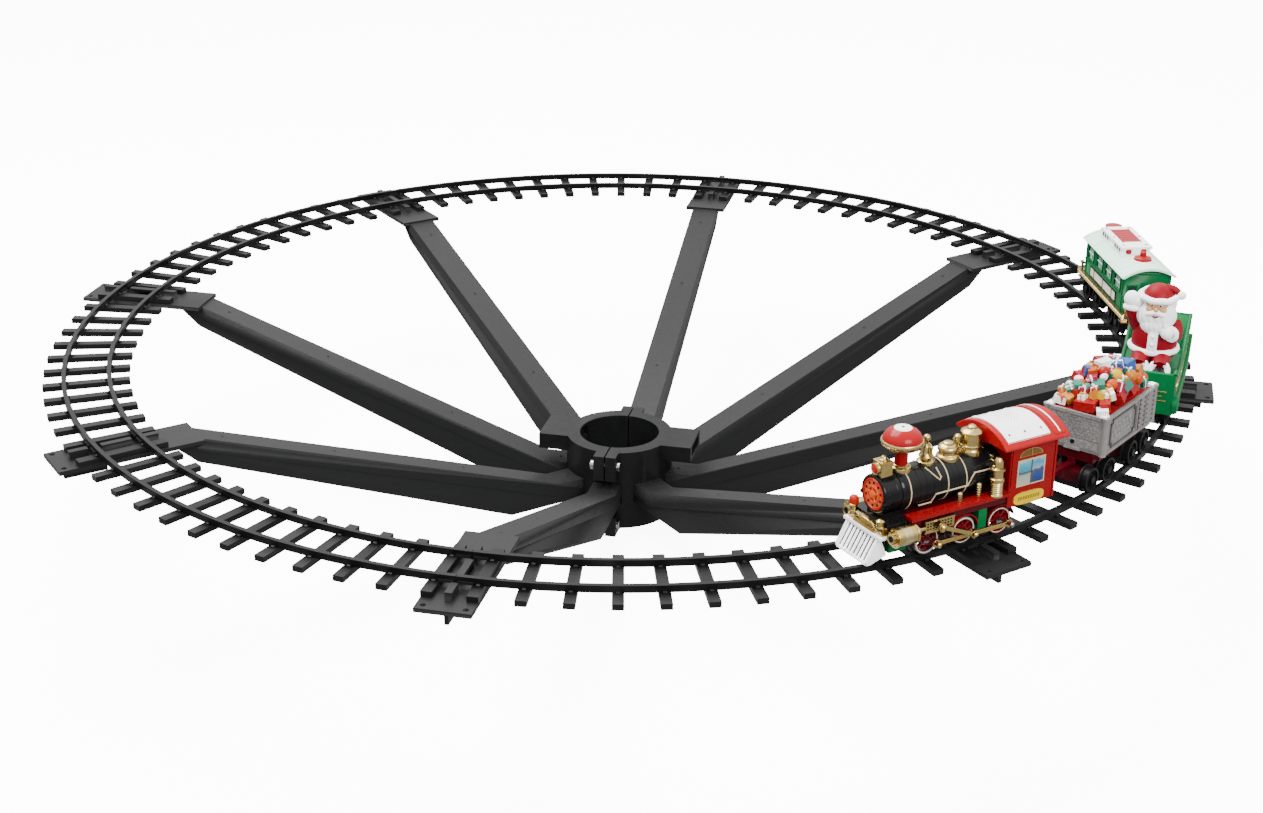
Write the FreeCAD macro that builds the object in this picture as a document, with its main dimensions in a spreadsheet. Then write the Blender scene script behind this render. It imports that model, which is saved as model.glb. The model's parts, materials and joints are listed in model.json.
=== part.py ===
import FreeCAD, Part
import os
import re
import Sketcher

# A battery train on a ring of track that clamps round the trunk of a small tree.
#
# Row frame: the origin is on the trunk's axis at the underside of the hub, +Z is up.
# Car frame: +x is the direction of travel (clockwise seen from above), +y points away
# from the trunk, and z is the height above the rails.

V = FreeCAD.Vector
doc = FreeCAD.newDocument("ModelTrain")

DIMENSIONS = {
    # ring of track
    "rail_level": 165, "outer_rail": 450, "inner_rail": 415.4, "rail_width": 3.4, "rail_height": 5,
    "sleeper_inner": 399.6, "sleeper_outer": 466.6, "sleeper_width": 7.8, "sleeper_thick": 4.2,
    "section_count": 8, "section_sleepers": 12, "first_joint": -12.8, "joint_gap": 0.05,
    # spokes and their feet
    "spoke_width": 24, "spoke_step": 0.7, "spoke_wall": 2.4, "spoke_root": 40.2, "stub_top": 41,
    "stub_bottom": 23.5, "top_bend": 66, "bottom_bend": 112, "foot_start": 376, "foot_end": 481,
    "foot_width": 38, "foot_thick": 3.2, "spoke_end_depth": 20, "band_depth": 11, "clip_width": 5,
    "clip_height": 6, "rib_depth": 11, "rib_thick": 3, "foot_hole": 2,
    # hub
    "bore_radius": 33.8, "hub_radius": 45, "hub_height": 70, "split_gap": 1.2, "ear_reach": 55,
    "ear_width": 19, "ear_low_top": 14, "ear_high_bottom": 48, "lug_reach": 66, "lug_width": 40,
    "lug_bottom": 56.5, "bolt_low": 6.5, "bolt_high": 60, "bolt_offset": 50, "bolt_radius": 2.5,
    "bolt_head": 4.2, "channel_width": 26, "channel_height": 8, "channel_bottom": 59.5,
    "jaw_play": 0.3, "jaw_tooth": 1.2, "jaw_length": 26,
    # car positions round the ring
    "track_radius": 432.7, "loco_azimuth": -59.75, "gift_azimuth": -38, "sleigh_azimuth": -20,
    "coach_azimuth": 5.5, "loco_shift": 0.5,
    # wheels
    "driver_radius": 9.6, "driver_flange": 11.1, "driver_base": 30, "crank": 3, "pin_radius": 1.2,
    "wagon_radius": 8.8, "wagon_flange": 10.2, "wheel_lift": 0.05, "flange_back": 12.8,
    "flange_face": 14, "tread_face": 18.9, "rim_depth": 1.9, "axle_radius": 1.5, "running_play": 0.06,
    "gift_pitch": 29, "sleigh_pitch": 26, "coach_pitch": 31, "bogie_base": 23, "bogie_half": 11.4,
    "bogie_frame_top": 13.6, "bogie_top": 19.2, "pivot_radius": 3,
    # locomotive
    "chassis_half": 11.4, "plate_bottom": 22, "plate_top": 27.5, "footplate_top": 30.2,
    "footplate_half": 23, "boiler_radius": 14.2, "boiler_level": 42.2, "boiler_rear": -34,
    "boiler_front": 47, "smokebox_radius": 13.2, "smokebox_front": 61, "cab_rear": -74,
    "cab_half": 21, "cab_bottom": 18, "cab_top": 62, "cab_wall": 2, "roof_half": 26,
    "roof_eave": 63.5, "roof_crown": 73.5, "roof_rear": -79.5, "roof_front": -25,
    "cylinder_radius": 6.2, "cylinder_level": 21, "cylinder_side": 24, "rod_inner": 24,
    "rod_outer": 26.2, "main_rod_outer": 28, "stack_place": 40, "steam_dome_place": 2,
    "sand_dome_place": -17, "bell_place": 20, "pump_place": -23.5,
    # drawbars
    "bar_bottom": 15.2, "bar_top": 17.4, "bar_half": 2, "eye_radius": 4.2, "hitch_radius": 1.9,
    "hitch_bottom": 14.6, "hitch_place": 38.5, "loco_hitch": -70.5,
    # wagons
    "gift_half": 40.5, "tub_half": 23, "tub_bottom": 27, "tub_top": 55, "tub_wall": 2.2,
    "heap_top": 83, "sleigh_half": 22.4, "sleigh_wall": 1.4, "coach_half": 50, "coach_side": 20,
    "coach_floor": 21.5, "coach_eave": 52, "coach_crown": 59.5, "coach_roof_half": 54,
    "coach_roof_side": 23, "coach_deck_half": 60, "deck_bottom": 19.5, "shell": 2,
}

sheet = doc.addObject("Spreadsheet::Sheet", "Dimensions")
for row, (alias, number) in enumerate(DIMENSIONS.items(), start=1):
    sheet.set(f"A{row}", alias)
    sheet.set(f"B{row}", str(number))
    sheet.setAlias(f"B{row}", alias)
doc.recompute()

parts = []


# ---------------------------------------------------------------- helpers

def formula(text):
    """Point each driving dimension named in an expression at the spreadsheet."""
    return re.sub(r"[a-z]\w+", lambda word: "Dimensions." + word.group()
                  if word.group() in DIMENSIONS else word.group(), str(text))


def value(text):
    """The present value of an expression, as a plain number."""
    result = sheet.evalExpression(formula(text))
    return float(getattr(result, "Value", result))


def bind(item, **sizes):
    for name, text in sizes.items():
        item.setExpression(name, formula(text))
    return item


def move(item, at, axis=V(0, 0, 1), angle=0):
    """Place an item by expressions: at is its base point, angle turns it about axis."""
    item.Placement = FreeCAD.Placement(V(), FreeCAD.Rotation(axis, 1))
    for name, text in zip("xyz", at):
        item.setExpression("Placement.Base." + name, formula(text))
    item.setExpression("Placement.Rotation.Angle", formula(angle))
    return item


def box(name, x, y, z):
    """A block between two planes along each axis."""
    item = bind(doc.addObject("Part::Box", name), Length=f"({x[1]})-({x[0]})",
                Width=f"({y[1]})-({y[0]})", Height=f"({z[1]})-({z[0]})")
    return move(item, (x[0], y[0], z[0]))


TURNS = {"x": (V(0, 1, 0), 90), "y": (V(1, 0, 0), -90), "z": (V(0, 0, 1), 0)}


def rod(name, along, radius, start, end, centre, sweep=360):
    """A cylinder along x, y or z; centre is its place on the other two axes."""
    item = bind(doc.addObject("Part::Cylinder", name), Radius=radius,
                Height=f"({end})-({start})", Angle=sweep)
    place = dict(zip([axis for axis in "xyz" if axis != along], centre))
    place[along] = start
    return move(item, [place[axis] for axis in "xyz"], *TURNS[along])


def ball(name, radius, at):
    return move(bind(doc.addObject("Part::Sphere", name), Radius=radius), at)


def cone(name, low_radius, high_radius, height, at, axis=V(0, 1, 0), tilt=0):
    """A cone that stands on its first radius, tilted about an axis through its base."""
    item = bind(doc.addObject("Part::Cone", name), Radius1=low_radius, Radius2=high_radius,
                Height=height)
    return move(item, at, axis, tilt)


def fuse(name, items):
    item = doc.addObject("Part::MultiFuse", name)
    item.Shapes = items
    return item


def cut(name, base, tools):
    item = doc.addObject("Part::Cut", name)
    item.Base = base
    item.Tool = tools[0] if len(tools) == 1 else fuse(name + "_tools", tools)
    return item


def common(name, items):
    item = doc.addObject("Part::MultiCommon", name)
    item.Shapes = items
    return item


def group_of(name, items):
    """Several solids that make up one sub-part."""
    group = doc.addObject("Part::Compound", name)
    group.Links = items
    return group


def new_body(name):
    return doc.addObject("PartDesign::Body", name)


def sketch_on(body, role, name="outline"):
    """An empty sketch on one of the body's own origin planes."""
    plane = next(item for item in body.Origin.OriginFeatures if item.Role == role)
    sketch = body.newObject("Sketcher::SketchObject", f"{body.Name}_{name}")
    sketch.AttachmentSupport = [(plane, "")]
    sketch.MapMode = "FlatFace"
    return sketch


def polygon(sketch, corners):
    """A closed outline whose corners are dimensioned from the sketch's origin."""
    first = sketch.GeometryCount
    points = [V(value(across), value(up), 0) for across, up in corners]
    last = len(points) - 1
    for index, point in enumerate(points):
        following = points[0 if index == last else index + 1]
        sketch.addGeometry(Part.LineSegment(point, following))
    for index, corner in enumerate(corners):
        line = first + index
        before = first + (last if index == 0 else index - 1)
        sketch.addConstraint(Sketcher.Constraint("Coincident", before, 2, line, 1))
        for kind, text in zip(("DistanceX", "DistanceY"), corner):
            number = sketch.addConstraint(Sketcher.Constraint(kind, -1, 1, line, 1, value(text)))
            sketch.setExpression(f"Constraints[{number}]", formula(text))


def circle(sketch, radius, centre):
    """A circle dimensioned by its radius and its centre's place."""
    line = sketch.addGeometry(Part.Circle(V(value(centre[0]), value(centre[1]), 0), V(0, 0, 1),
                                          value(radius)))
    rules = [Sketcher.Constraint("Radius", line, value(radius)),
             Sketcher.Constraint("DistanceX", -1, 1, line, 3, value(centre[0])),
             Sketcher.Constraint("DistanceY", -1, 1, line, 3, value(centre[1]))]
    for rule, text in zip(rules, (radius, *centre)):
        number = sketch.addConstraint(rule)
        sketch.setExpression(f"Constraints[{number}]", formula(text))


def pad(body, sketch, length, both_ways=True):
    item = body.newObject("PartDesign::Pad", sketch.Name + "_pad")
    item.Profile = sketch
    item.Midplane = both_ways
    return bind(item, Length=length)


def pocket(body, sketch, length):
    """A pocket that reaches the same way on both sides of its sketch."""
    item = body.newObject("PartDesign::Pocket", sketch.Name + "_pocket")
    item.Profile = sketch
    item.Midplane = True
    return bind(item, Length=length)


def turned(name, role, axis, corners):
    """A body of revolution about its sketch's horizontal or vertical axis."""
    body = new_body(name)
    sketch = sketch_on(body, role)
    polygon(sketch, corners)
    item = body.newObject("PartDesign::Revolution", name + "_turned")
    item.Profile = sketch
    item.ReferenceAxis = (sketch, [axis])
    item.Angle = 360
    return body


def around(body, feature, sketch, axis, count, sweep):
    """Repeat a feature round the sketch's axis."""
    item = body.newObject("PartDesign::PolarPattern", feature.Name + "_round")
    item.Originals = [feature]
    item.Axis = (sketch, [axis])
    bind(item, Angle=sweep, Occurrences=count)
    body.Tip = item
    return item


def finish(label, item, at=("0", "0", "0"), angle="0"):
    """Give a sub-part its label, which names its file, and its placement."""
    item.Label = label
    parts.append(move(item, at, angle=angle))
    return item


def on_ring(label, item, car, x="0", y="0", z="0", swivel="0"):
    """Place a sub-part in a car's frame, where car is (radius, azimuth)."""
    radius, azimuth = car[:2]
    at = (f"(({radius})+({y}))*cos({azimuth})+({x})*sin({azimuth})",
          f"(({radius})+({y}))*sin({azimuth})-({x})*cos({azimuth})",
          f"rail_level+({z})")
    return finish(label, item, at, f"({azimuth})-90+({swivel})")


def both_sides(make):
    """Call make once for each side of a car: it gets a name suffix and a sign."""
    return [make("l", "1"), make("r", "-1")]


def side_span(sign, near, far):
    """The span from near to far on one side of the centre line, low end first."""
    return (near, far) if sign == "1" else (f"-({far})", f"-({near})")


# ---------------------------------------------------------------- hub and clamp

SECTION_ANGLE = "360/section_count"
SLEEPER_PITCH = f"({SECTION_ANGLE})/section_sleepers"
SLEEPER_BOTTOM = "rail_level-rail_height-sleeper_thick"


def hub_half(label, sign):
    """Half of the trunk clamp: a half ring with bolted ears, spoke sockets and a jaw channel."""
    name = label
    near = ("split_gap/2", "ear_width/2")
    ears = [box(f"{name}_ear{index}", side_span(sign, *near),
                side_span(way, "bore_radius+2", "ear_reach"), heights)
            for index, (way, heights) in enumerate(
                (way, heights) for way in ("1", "-1")
                for heights in (("-3", "ear_low_top"), ("ear_high_bottom", "hub_height")))]
    ring = rod(f"{name}_ring", "z", "hub_radius", "0", "hub_height", ("0", "0"))
    lug = box(f"{name}_lug", side_span(sign, "bore_radius", "lug_reach"),
              ("-lug_width/2", "lug_width/2"), ("lug_bottom", "hub_height"))
    other_side = box(f"{name}_other", side_span(sign, "-hub_radius-1", "split_gap/2"),
                     ("-ear_reach-1", "ear_reach+1"), ("-4", "hub_height+1"))
    bore = rod(f"{name}_bore", "z", "bore_radius", "-4", "hub_height+1", ("0", "0"))
    channel = box(f"{name}_channel", side_span(sign, "bore_radius-6", "lug_reach+1"),
                  ("-channel_width/2", "channel_width/2"),
                  ("channel_bottom", "channel_bottom+channel_height"))
    holes = [rod(f"{name}_hole{index}", "x", "bolt_radius+0.2", "-ear_width", "ear_width",
                 (f"({way})*bolt_offset", level))
             for index, (way, level) in enumerate(
                 (way, level) for way in ("1", "-1") for level in ("bolt_low", "bolt_high"))]
    sockets = [move(box(f"{name}_socket{index}", ("0", "10"), ("0", "spoke_width+0.4"),
                        ("stub_bottom-0.2", "stub_top+0.2")),
                    (f"(spoke_root-0.2)*cos({index}*45)+(spoke_width/2+0.2)*sin({index}*45)",
                     f"(spoke_root-0.2)*sin({index}*45)-(spoke_width/2+0.2)*cos({index}*45)",
                     "stub_bottom-0.2"), angle=f"{index}*45")
               for index in range(8)]
    solid = fuse(name + "_solid", [ring, lug, *ears])
    finish(label, cut(name, solid, [bore, channel, other_side, *holes, *sockets]),
           angle="first_joint")


def clamp_bolts():
    """Four bolts along x through the ears, each with its nut, as separate solids."""
    bolts = []
    for index, (way, level) in enumerate(
            (way, level) for way in ("1", "-1") for level in ("bolt_low", "bolt_high")):
        centre = (f"({way})*bolt_offset", level)
        shank = rod(f"bolt{index}_shank", "x", "bolt_radius", "-ear_width/2-4", "ear_width/2",
                    centre)
        head = rod(f"bolt{index}_head", "x", "bolt_head", "ear_width/2", "ear_width/2+3", centre)
        nut = rod(f"bolt{index}_nut", "x", "bolt_head", "-ear_width/2-3.2", "-ear_width/2",
                  centre)
        bolts.append(fuse(f"bolt{index}", [shank, head, nut]))
    finish("clamp_bolts", group_of("clamp_bolts", bolts), angle="first_joint")


def grip_jaw(label, sign):
    """A serrated jaw that slides along its lug to grip a thinner trunk."""
    half = "channel_width/2-jaw_play"
    span = side_span(sign, "bore_radius+1", "bore_radius+1+jaw_length")
    height = ("channel_bottom+jaw_play", "channel_bottom+channel_height-jaw_play")
    block = box(label + "_block", span, (f"-({half})", half), height)
    teeth = []
    for index in range(6):
        place = f"({half})*({(index - 2.5) / 3})"
        teeth.append(rod(f"{label}_groove{index}", "z", "jaw_tooth", "channel_bottom-1",
                         "channel_bottom+channel_height+1",
                         (f"({sign})*(bore_radius+1)", place)))
    finish(label, cut(label, block, teeth), angle="first_joint")


# ---------------------------------------------------------------- spokes and track

def spoke(index):
    """A channel that rises from its hub socket to a flat foot under a track joint."""
    name = f"spoke{index}"
    foot_top = SLEEPER_BOTTOM
    body = new_body(name)
    bottom = [("foot_end-2", f"{foot_top}-foot_thick"), ("foot_start+18", f"{foot_top}-foot_thick"),
              ("foot_start", f"{foot_top}-spoke_end_depth"), ("bottom_bend", "stub_bottom"),
              ("spoke_root", "stub_bottom")]
    top = [("spoke_root", "stub_top"), ("top_bend", "stub_top"), ("foot_start", foot_top),
           ("foot_end-2", foot_top)]
    web = sketch_on(body, "XZ_Plane", "web")
    polygon(web, top + bottom)
    pad(body, web, "spoke_width-2*spoke_step")
    band = sketch_on(body, "XZ_Plane", "band")
    polygon(band, top[:3] + [("foot_start", f"{foot_top}-band_depth"),
                             ("top_bend+3", "stub_top-band_depth"),
                             ("spoke_root", "stub_top-band_depth")])
    pad(body, band, "spoke_width")
    inside = sketch_on(body, "XZ_Plane", "inside")
    polygon(inside, [("spoke_root+9", "stub_top-3"), ("top_bend", "stub_top-3"),
                     ("foot_start-2", f"{foot_top}-4"), ("foot_start-2", "stub_bottom-9"),
                     ("spoke_root+9", "stub_bottom-9")])
    pocket(body, inside, "spoke_width-2*spoke_wall-2*spoke_step")
    plate = box(name + "_plate", ("foot_start-4", "foot_end"), ("-foot_width/2", "foot_width/2"),
                (f"{foot_top}-foot_thick", foot_top))
    clip_spans = [("inner_rail-14", "inner_rail-3"), ("inner_rail+6", "outer_rail-6"),
                  ("outer_rail+4", "outer_rail+18")]
    clips = [box(f"{name}_clip{number}", span, ("-clip_width/2", "clip_width/2"),
                 (f"{foot_top}-1", f"{foot_top}+clip_height"))
             for number, span in enumerate(clip_spans)]
    rib = box(name + "_rib", ("foot_end-40", "foot_end-8"), ("-rib_thick/2", "rib_thick/2"),
              (f"{foot_top}-foot_thick-rib_depth", f"{foot_top}-1"))
    holes = [rod(f"{name}_hole{side}", "z", "foot_hole", f"{foot_top}-foot_thick-1",
                 f"{foot_top}+1", ("foot_end-5", f"({side})*(foot_width/2-5)"))
             for side in (-1, 1)]
    solid = cut(name + "_cut", fuse(name + "_solid", [body, plate, rib, *clips]), holes)
    return move(solid, ("0", "0", "0"), angle=f"({SECTION_ANGLE})*{index}")


def spokes():
    """The eight spokes, as separate solids of one group."""
    arms = [spoke(index) for index in range(int(value("section_count")))]
    finish("spokes", group_of("spokes", arms), angle="first_joint")


def track_section(number):
    """An eighth of the ring: two curved rails on a row of sleepers."""
    body = new_body(f"track_section_{number}")
    rails = sketch_on(body, "XZ_Plane", "rails")
    for radius in ("inner_rail", "outer_rail"):
        low, high = "rail_level-rail_height", "rail_level"
        near, far = f"{radius}-rail_width/2", f"{radius}+rail_width/2"
        polygon(rails, [(near, low), (far, low), (far, high), (near, high)])
    bend = body.newObject("PartDesign::Revolution", body.Name + "_rails_bend")
    bend.Profile = rails
    bend.ReferenceAxis = (rails, ["V_Axis"])
    bend.Midplane = True
    bind(bend, Angle=f"({SECTION_ANGLE})-joint_gap")
    sleeper = sketch_on(body, "XY_Plane", "sleeper")
    sleeper.AttachmentOffset = FreeCAD.Placement(V(0, 0, value(SLEEPER_BOTTOM)),
                                                 FreeCAD.Rotation())
    sleeper.setExpression("AttachmentOffset.Base.z", formula(SLEEPER_BOTTOM))
    angle = f"(({SLEEPER_PITCH})-({SECTION_ANGLE}))/2"
    corners = [("sleeper_inner", "-sleeper_width/2"), ("sleeper_outer", "-sleeper_width/2"),
               ("sleeper_outer", "sleeper_width/2"), ("sleeper_inner", "sleeper_width/2")]
    polygon(sleeper, [(f"({out})*cos({angle})-({side})*sin({angle})",
                       f"({out})*sin({angle})+({side})*cos({angle})")
                      for out, side in corners])
    block = pad(body, sleeper, "sleeper_thick+0.01", both_ways=False)
    around(body, block, sleeper, "N_Axis", "section_sleepers",
           f"({SECTION_ANGLE})-({SLEEPER_PITCH})")
    finish(body.Name, body, angle=f"first_joint+({SECTION_ANGLE})*({number}-0.5)")


# ---------------------------------------------------------------- wheels and bogies

def wheel(name, sign, tread, flange):
    """A flanged wheel on the y axis, with a dished web and eight lightening holes."""
    rim = f"({tread})-rim_depth"
    corners = [("axle_radius", "flange_back"), ("2.6", "flange_back"), ("2.6", "flange_back+1.8"),
               (rim, "flange_back+1.8"), (rim, "flange_back"), (flange, "flange_back"),
               (flange, "flange_face"), (tread, "flange_face"), (tread, "tread_face"),
               (rim, "tread_face"), (rim, "tread_face-1.5"), ("2.8", "tread_face-1.5"),
               ("2.8", "tread_face+0.9"), ("axle_radius", "tread_face+0.9")]
    if sign == "-1":
        corners = [(across, f"-({up})") for across, up in reversed(corners)]
    body = turned(name, "XY_Plane", "V_Axis", corners)
    hole = sketch_on(body, "XZ_Plane", "hole")
    reach = f"(({rim})+2.8)/2"
    circle(hole, f"({reach})*0.33", (f"({reach})*cos(22.5)", f"({reach})*sin(22.5)"))
    bore = pocket(body, hole, "3*tread_face")
    around(body, bore, hole, "N_Axis", "8", "360")
    return body


def axle(name):
    return rod(name + "_axle", "y", "axle_radius", "-tread_face-0.9", "tread_face+0.9", ("0", "0"))


def wagon_wheels(label, place, x):
    """Two wheels pressed on an axle."""
    wheels = both_sides(lambda suffix, sign: wheel(f"{label}_{suffix}", sign, "wagon_radius",
                                                   "wagon_flange"))
    on_ring(label, group_of(label, [axle(label), *wheels]), place, x=x,
            z="wagon_radius+wheel_lift")


def driver_wheels(label, place):
    """Two driving wheels pressed on an axle, each with its crank pin."""
    pins = both_sides(lambda suffix, sign: rod(
        f"{label}_pin_{suffix}", "y", "pin_radius",
        *side_span(sign, "tread_face-3", "main_rod_outer+0.6"), ("-crank", "0")))
    plain = both_sides(lambda suffix, sign: wheel(f"{label}_blank_{suffix}", sign,
                                                  "driver_radius", "driver_flange"))
    wheels = [cut(f"{label}_{number}", blank, [pin])
              for number, (blank, pin) in enumerate(zip(plain, pins))]
    on_ring(label, group_of(label, [axle(label), *wheels, *pins]), LOCO, x=place,
            z="driver_radius+wheel_lift")


def side_rod(label, sign):
    """Coupling rod over the three crank pins, with the main rod rising to the crosshead."""
    name = label
    level = "driver_radius+wheel_lift"
    inner, outer = side_span(sign, "rod_inner", "rod_outer")
    far_inner, far_outer = side_span(sign, "rod_outer-0.4", "main_rod_outer")
    places = [f"({index})*driver_base-crank" for index in (-1, 0, 1)]
    bar = box(name + "_bar", (places[0], places[2]), (inner, outer), ("-1.5", "1.5"))
    bosses = [rod(f"{name}_boss{index}", "y", "2.9", inner, outer, (place, "0"))
              for index, place in enumerate(places)]
    middle = rod(name + "_middle", "y", "2.9", far_inner, far_outer, (places[1], "0"))
    main = move(box(name + "_main", ("0", "30"), ("0", "2.2"), ("0", "2.6")),
                (places[1], far_inner, "-1.3"), V(0, 1, 0),
                f"-(atan((cylinder_level-({level}))/(24+crank))/1deg)")
    head = rod(name + "_head", "y", "3.1", far_inner, far_outer,
               ("24", f"cylinder_level-({level})"))
    holes = [rod(f"{name}_hole{index}", "y", "pin_radius+running_play", "-31", "31", (place, "0"))
             for index, place in enumerate(places)]
    solid = fuse(name + "_solid", [bar, main, middle, head, *bosses])
    on_ring(label, cut(name, solid, holes), LOCO, z=level)


def bogie(label, car, sign):
    """A two-axle bogie between its wheels, with a pivot pin that runs in the deck above."""
    radius, azimuth, pitch = car
    frame = box(label + "_frame", ("-bogie_base/2-5", "bogie_base/2+5"),
                ("-bogie_half", "bogie_half"), ("5", "bogie_frame_top"))
    bolster = box(label + "_bolster", ("-4", "4"), ("-bogie_half+1", "bogie_half-1"),
                  ("bogie_frame_top-1", "bogie_top"))
    pin = rod(label + "_pin", "z", "pivot_radius", "bogie_top-1", "bogie_top+2", ("0", "0"))
    bores = [rod(f"{label}_bore{way}", "y", "axle_radius+running_play", "-bogie_half-1",
                 "bogie_half+1", (f"({way})*bogie_base/2", "wagon_radius+wheel_lift"))
             for way in (-1, 1)]
    solid = cut(label, fuse(label + "_solid", [frame, bolster, pin]), bores)
    place = ("track_radius", f"({azimuth})-({sign})*{swing(pitch)}")
    on_ring(label, solid, place)
    for number, way in (("front", "1"), ("rear", "-1")):
        wagon_wheels(f"{label}_{number}_wheels", place, f"({way})*bogie_base/2")


def swing(pitch):
    """How far a bogie stands turned from its wagon on the curve, in plain degrees."""
    return f"(asin(({pitch})/track_radius)/1deg)"


def wagon_frame(azimuth, pitch):
    """A wagon's car frame: its bogie centres stand on the centre line of the track."""
    return f"track_radius*cos{swing(pitch)}", azimuth, pitch


LOCO = ("track_radius-loco_shift", "loco_azimuth")
GIFT = wagon_frame("gift_azimuth", "gift_pitch")
SLEIGH = wagon_frame("sleigh_azimuth", "sleigh_pitch")
COACH = wagon_frame("coach_azimuth", "coach_pitch")


def pivot_holes(name, car):
    """The two holes in a deck in which the bogies' pins turn."""
    return [rod(f"{name}_pivot{way}", "z", "pivot_radius+running_play", "deck_bottom-2",
                "bogie_top+3", (f"({way})*({car[2]})", "0")) for way in (-1, 1)]


def hitch(name, place, top):
    """The pin under the rear of a car that the next car's drawbar turns on."""
    return rod(name + "_hitch", "z", "hitch_radius", "hitch_bottom", top, (place, "0"))


def drawbar(name, car, ahead, rear):
    """A flat bar from the post under a wagon's front end to the pin of the car ahead."""
    turn = f"(({ahead[1]})-({car[1]}))"
    end = (f"({rear})*cos{turn}+({ahead[0]})*sin{turn}*(-1)",
           f"({rear})*sin{turn}+({ahead[0]})*cos{turn}-({car[0]})")
    across, along = f"({end[1]})", f"(({end[0]})-hitch_place)"
    angle = f"(atan({across}/{along})/1deg)"
    bar = box(name + "_bar", ("0", f"{along}/cos{angle}-3"), ("-bar_half", "bar_half"),
              ("bar_bottom", "bar_top"))
    bar = move(bar, (f"hitch_place+bar_half*sin{angle}", f"-bar_half*cos{angle}", "bar_bottom"),
               angle=angle)
    post = rod(name + "_post", "z", "3", "bar_bottom", "deck_bottom+1", ("hitch_place", "0"))
    eye = rod(name + "_eye", "z", "eye_radius", "bar_bottom", "bar_top", end)
    hole = rod(name + "_hole", "z", "hitch_radius+0.3", "bar_bottom-1", "bar_top+1", end)
    return [bar, post, eye], hole


def underframe(label, car, deck, ahead, rear):
    """A wagon's deck with its drawbar, its hitch and the holes for the bogies' pins."""
    bars, hole = drawbar(label, car, ahead, rear)
    pin = hitch(label, "-hitch_place", "deck_bottom+1")
    solid = fuse(label + "_solid", [*deck, *bars, pin])
    on_ring(label, cut(label, solid, [hole, *pivot_holes(label, car)]), car)


# ---------------------------------------------------------------- locomotive

def loco_chassis():
    """The frame between the wheels, the plate that carries the boiler, and the rear hitch."""
    block = box("chassis_block", ("-44", "60"), ("-chassis_half", "chassis_half"),
                ("5", "plate_bottom+1"))
    plate = box("chassis_plate", ("cab_rear+1", "46"), ("-20", "20"),
                ("plate_bottom", "plate_top"))
    nose = box("chassis_nose", ("45", "62"), ("-18.5", "18.5"),
               ("plate_bottom-2", "plate_top"))
    saddle = box("chassis_saddle", ("40", "58"), ("-9", "9"), ("plate_top-1", "plate_top+3.4"))
    pin = hitch("chassis", "loco_hitch", "plate_bottom+1")
    bores = [rod(f"chassis_bore{place}", "y", "axle_radius+running_play", "-chassis_half-1",
                 "chassis_half+1", (f"({place})*driver_base", "driver_radius+wheel_lift"))
             for place in (-1, 0, 1)]
    barrel = rod("chassis_barrel", "x", "boiler_radius", "0", "70", ("0", "boiler_level"))
    solid = fuse("chassis_solid", [block, plate, nose, saddle, pin])
    on_ring("loco_chassis", cut("loco_chassis", solid, [barrel, *bores]), LOCO)


def boiler():
    """The black barrel, from the cab to the smokebox ring."""
    corners = [("boiler_rear", "0"), ("boiler_front", "0"), ("boiler_front", "boiler_radius-0.5"),
               ("boiler_front-1", "boiler_radius"), ("boiler_rear", "boiler_radius")]
    on_ring("boiler", turned("boiler", "XZ_Plane", "H_Axis", corners), LOCO, z="boiler_level")


def smokebox():
    """The smokebox drum with the raised ring of its door."""
    corners = [("boiler_front", "0"), ("smokebox_front-1.4", "0"), ("smokebox_front-1.4", "9.8"),
               ("smokebox_front", "10.3"), ("smokebox_front", "12"),
               ("smokebox_front-1", "smokebox_radius"), ("boiler_front", "smokebox_radius")]
    body = turned("smokebox", "XZ_Plane", "H_Axis", corners)
    on_ring("smokebox", body, LOCO, z="boiler_level")


def standing(label, place, corners):
    """A turned fitting that stands upright on the boiler at a place along the locomotive."""
    fitting = turned(label + "_form", "XZ_Plane", "V_Axis", corners)
    barrel = rod(label + "_barrel", "x", "boiler_radius", "-20", "20", ("0", "boiler_level"))
    on_ring(label, cut(label, fitting, [barrel]), LOCO, x=place)


def chimney():
    """A stem that flares into a broad bowl under a dome."""
    seat = "boiler_level+boiler_radius"
    standing("smokestack", "stack_place", [
        ("0", f"{seat}-3"), ("4.6", f"{seat}-3"), ("6.6", f"{seat}-0.5"), ("6.6", f"{seat}+1"),
        ("4.4", f"{seat}+2"), ("4.4", "69"), ("8", "70.2"), ("12.6", "73"), ("14", "74.6"),
        ("14", "76"), ("13", "77.4"), ("11.6", "80.6"), ("8.6", "83.4"), ("4.6", "84.7"),
        ("0", "85")])


def domes():
    """The low steam dome and the tall sand dome."""
    seat = "boiler_level+boiler_radius"
    standing("steam_dome", "steam_dome_place", [
        ("0", f"{seat}-2.5"), ("6.4", f"{seat}-2.5"), ("7.4", f"{seat}-0.6"), ("7.4", f"{seat}+1"),
        ("6", f"{seat}+2"), ("6", f"{seat}+4"), ("6.6", f"{seat}+4.8"), ("6.4", f"{seat}+6.6"),
        ("4.2", f"{seat}+8"), ("3.2", f"{seat}+8.4"), ("2.8", f"{seat}+9.6"), ("0", f"{seat}+10")])
    standing("sand_dome", "sand_dome_place", [
        ("0", f"{seat}-2.5"), ("6.6", f"{seat}-2.5"), ("7.4", f"{seat}-0.6"), ("7.4", f"{seat}+1.4"),
        ("6.6", f"{seat}+2.4"), ("6.6", f"{seat}+12.4"), ("5.6", f"{seat}+14.4"),
        ("3.2", f"{seat}+15.4"), ("2.4", f"{seat}+17.4"), ("0", f"{seat}+18")])


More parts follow.
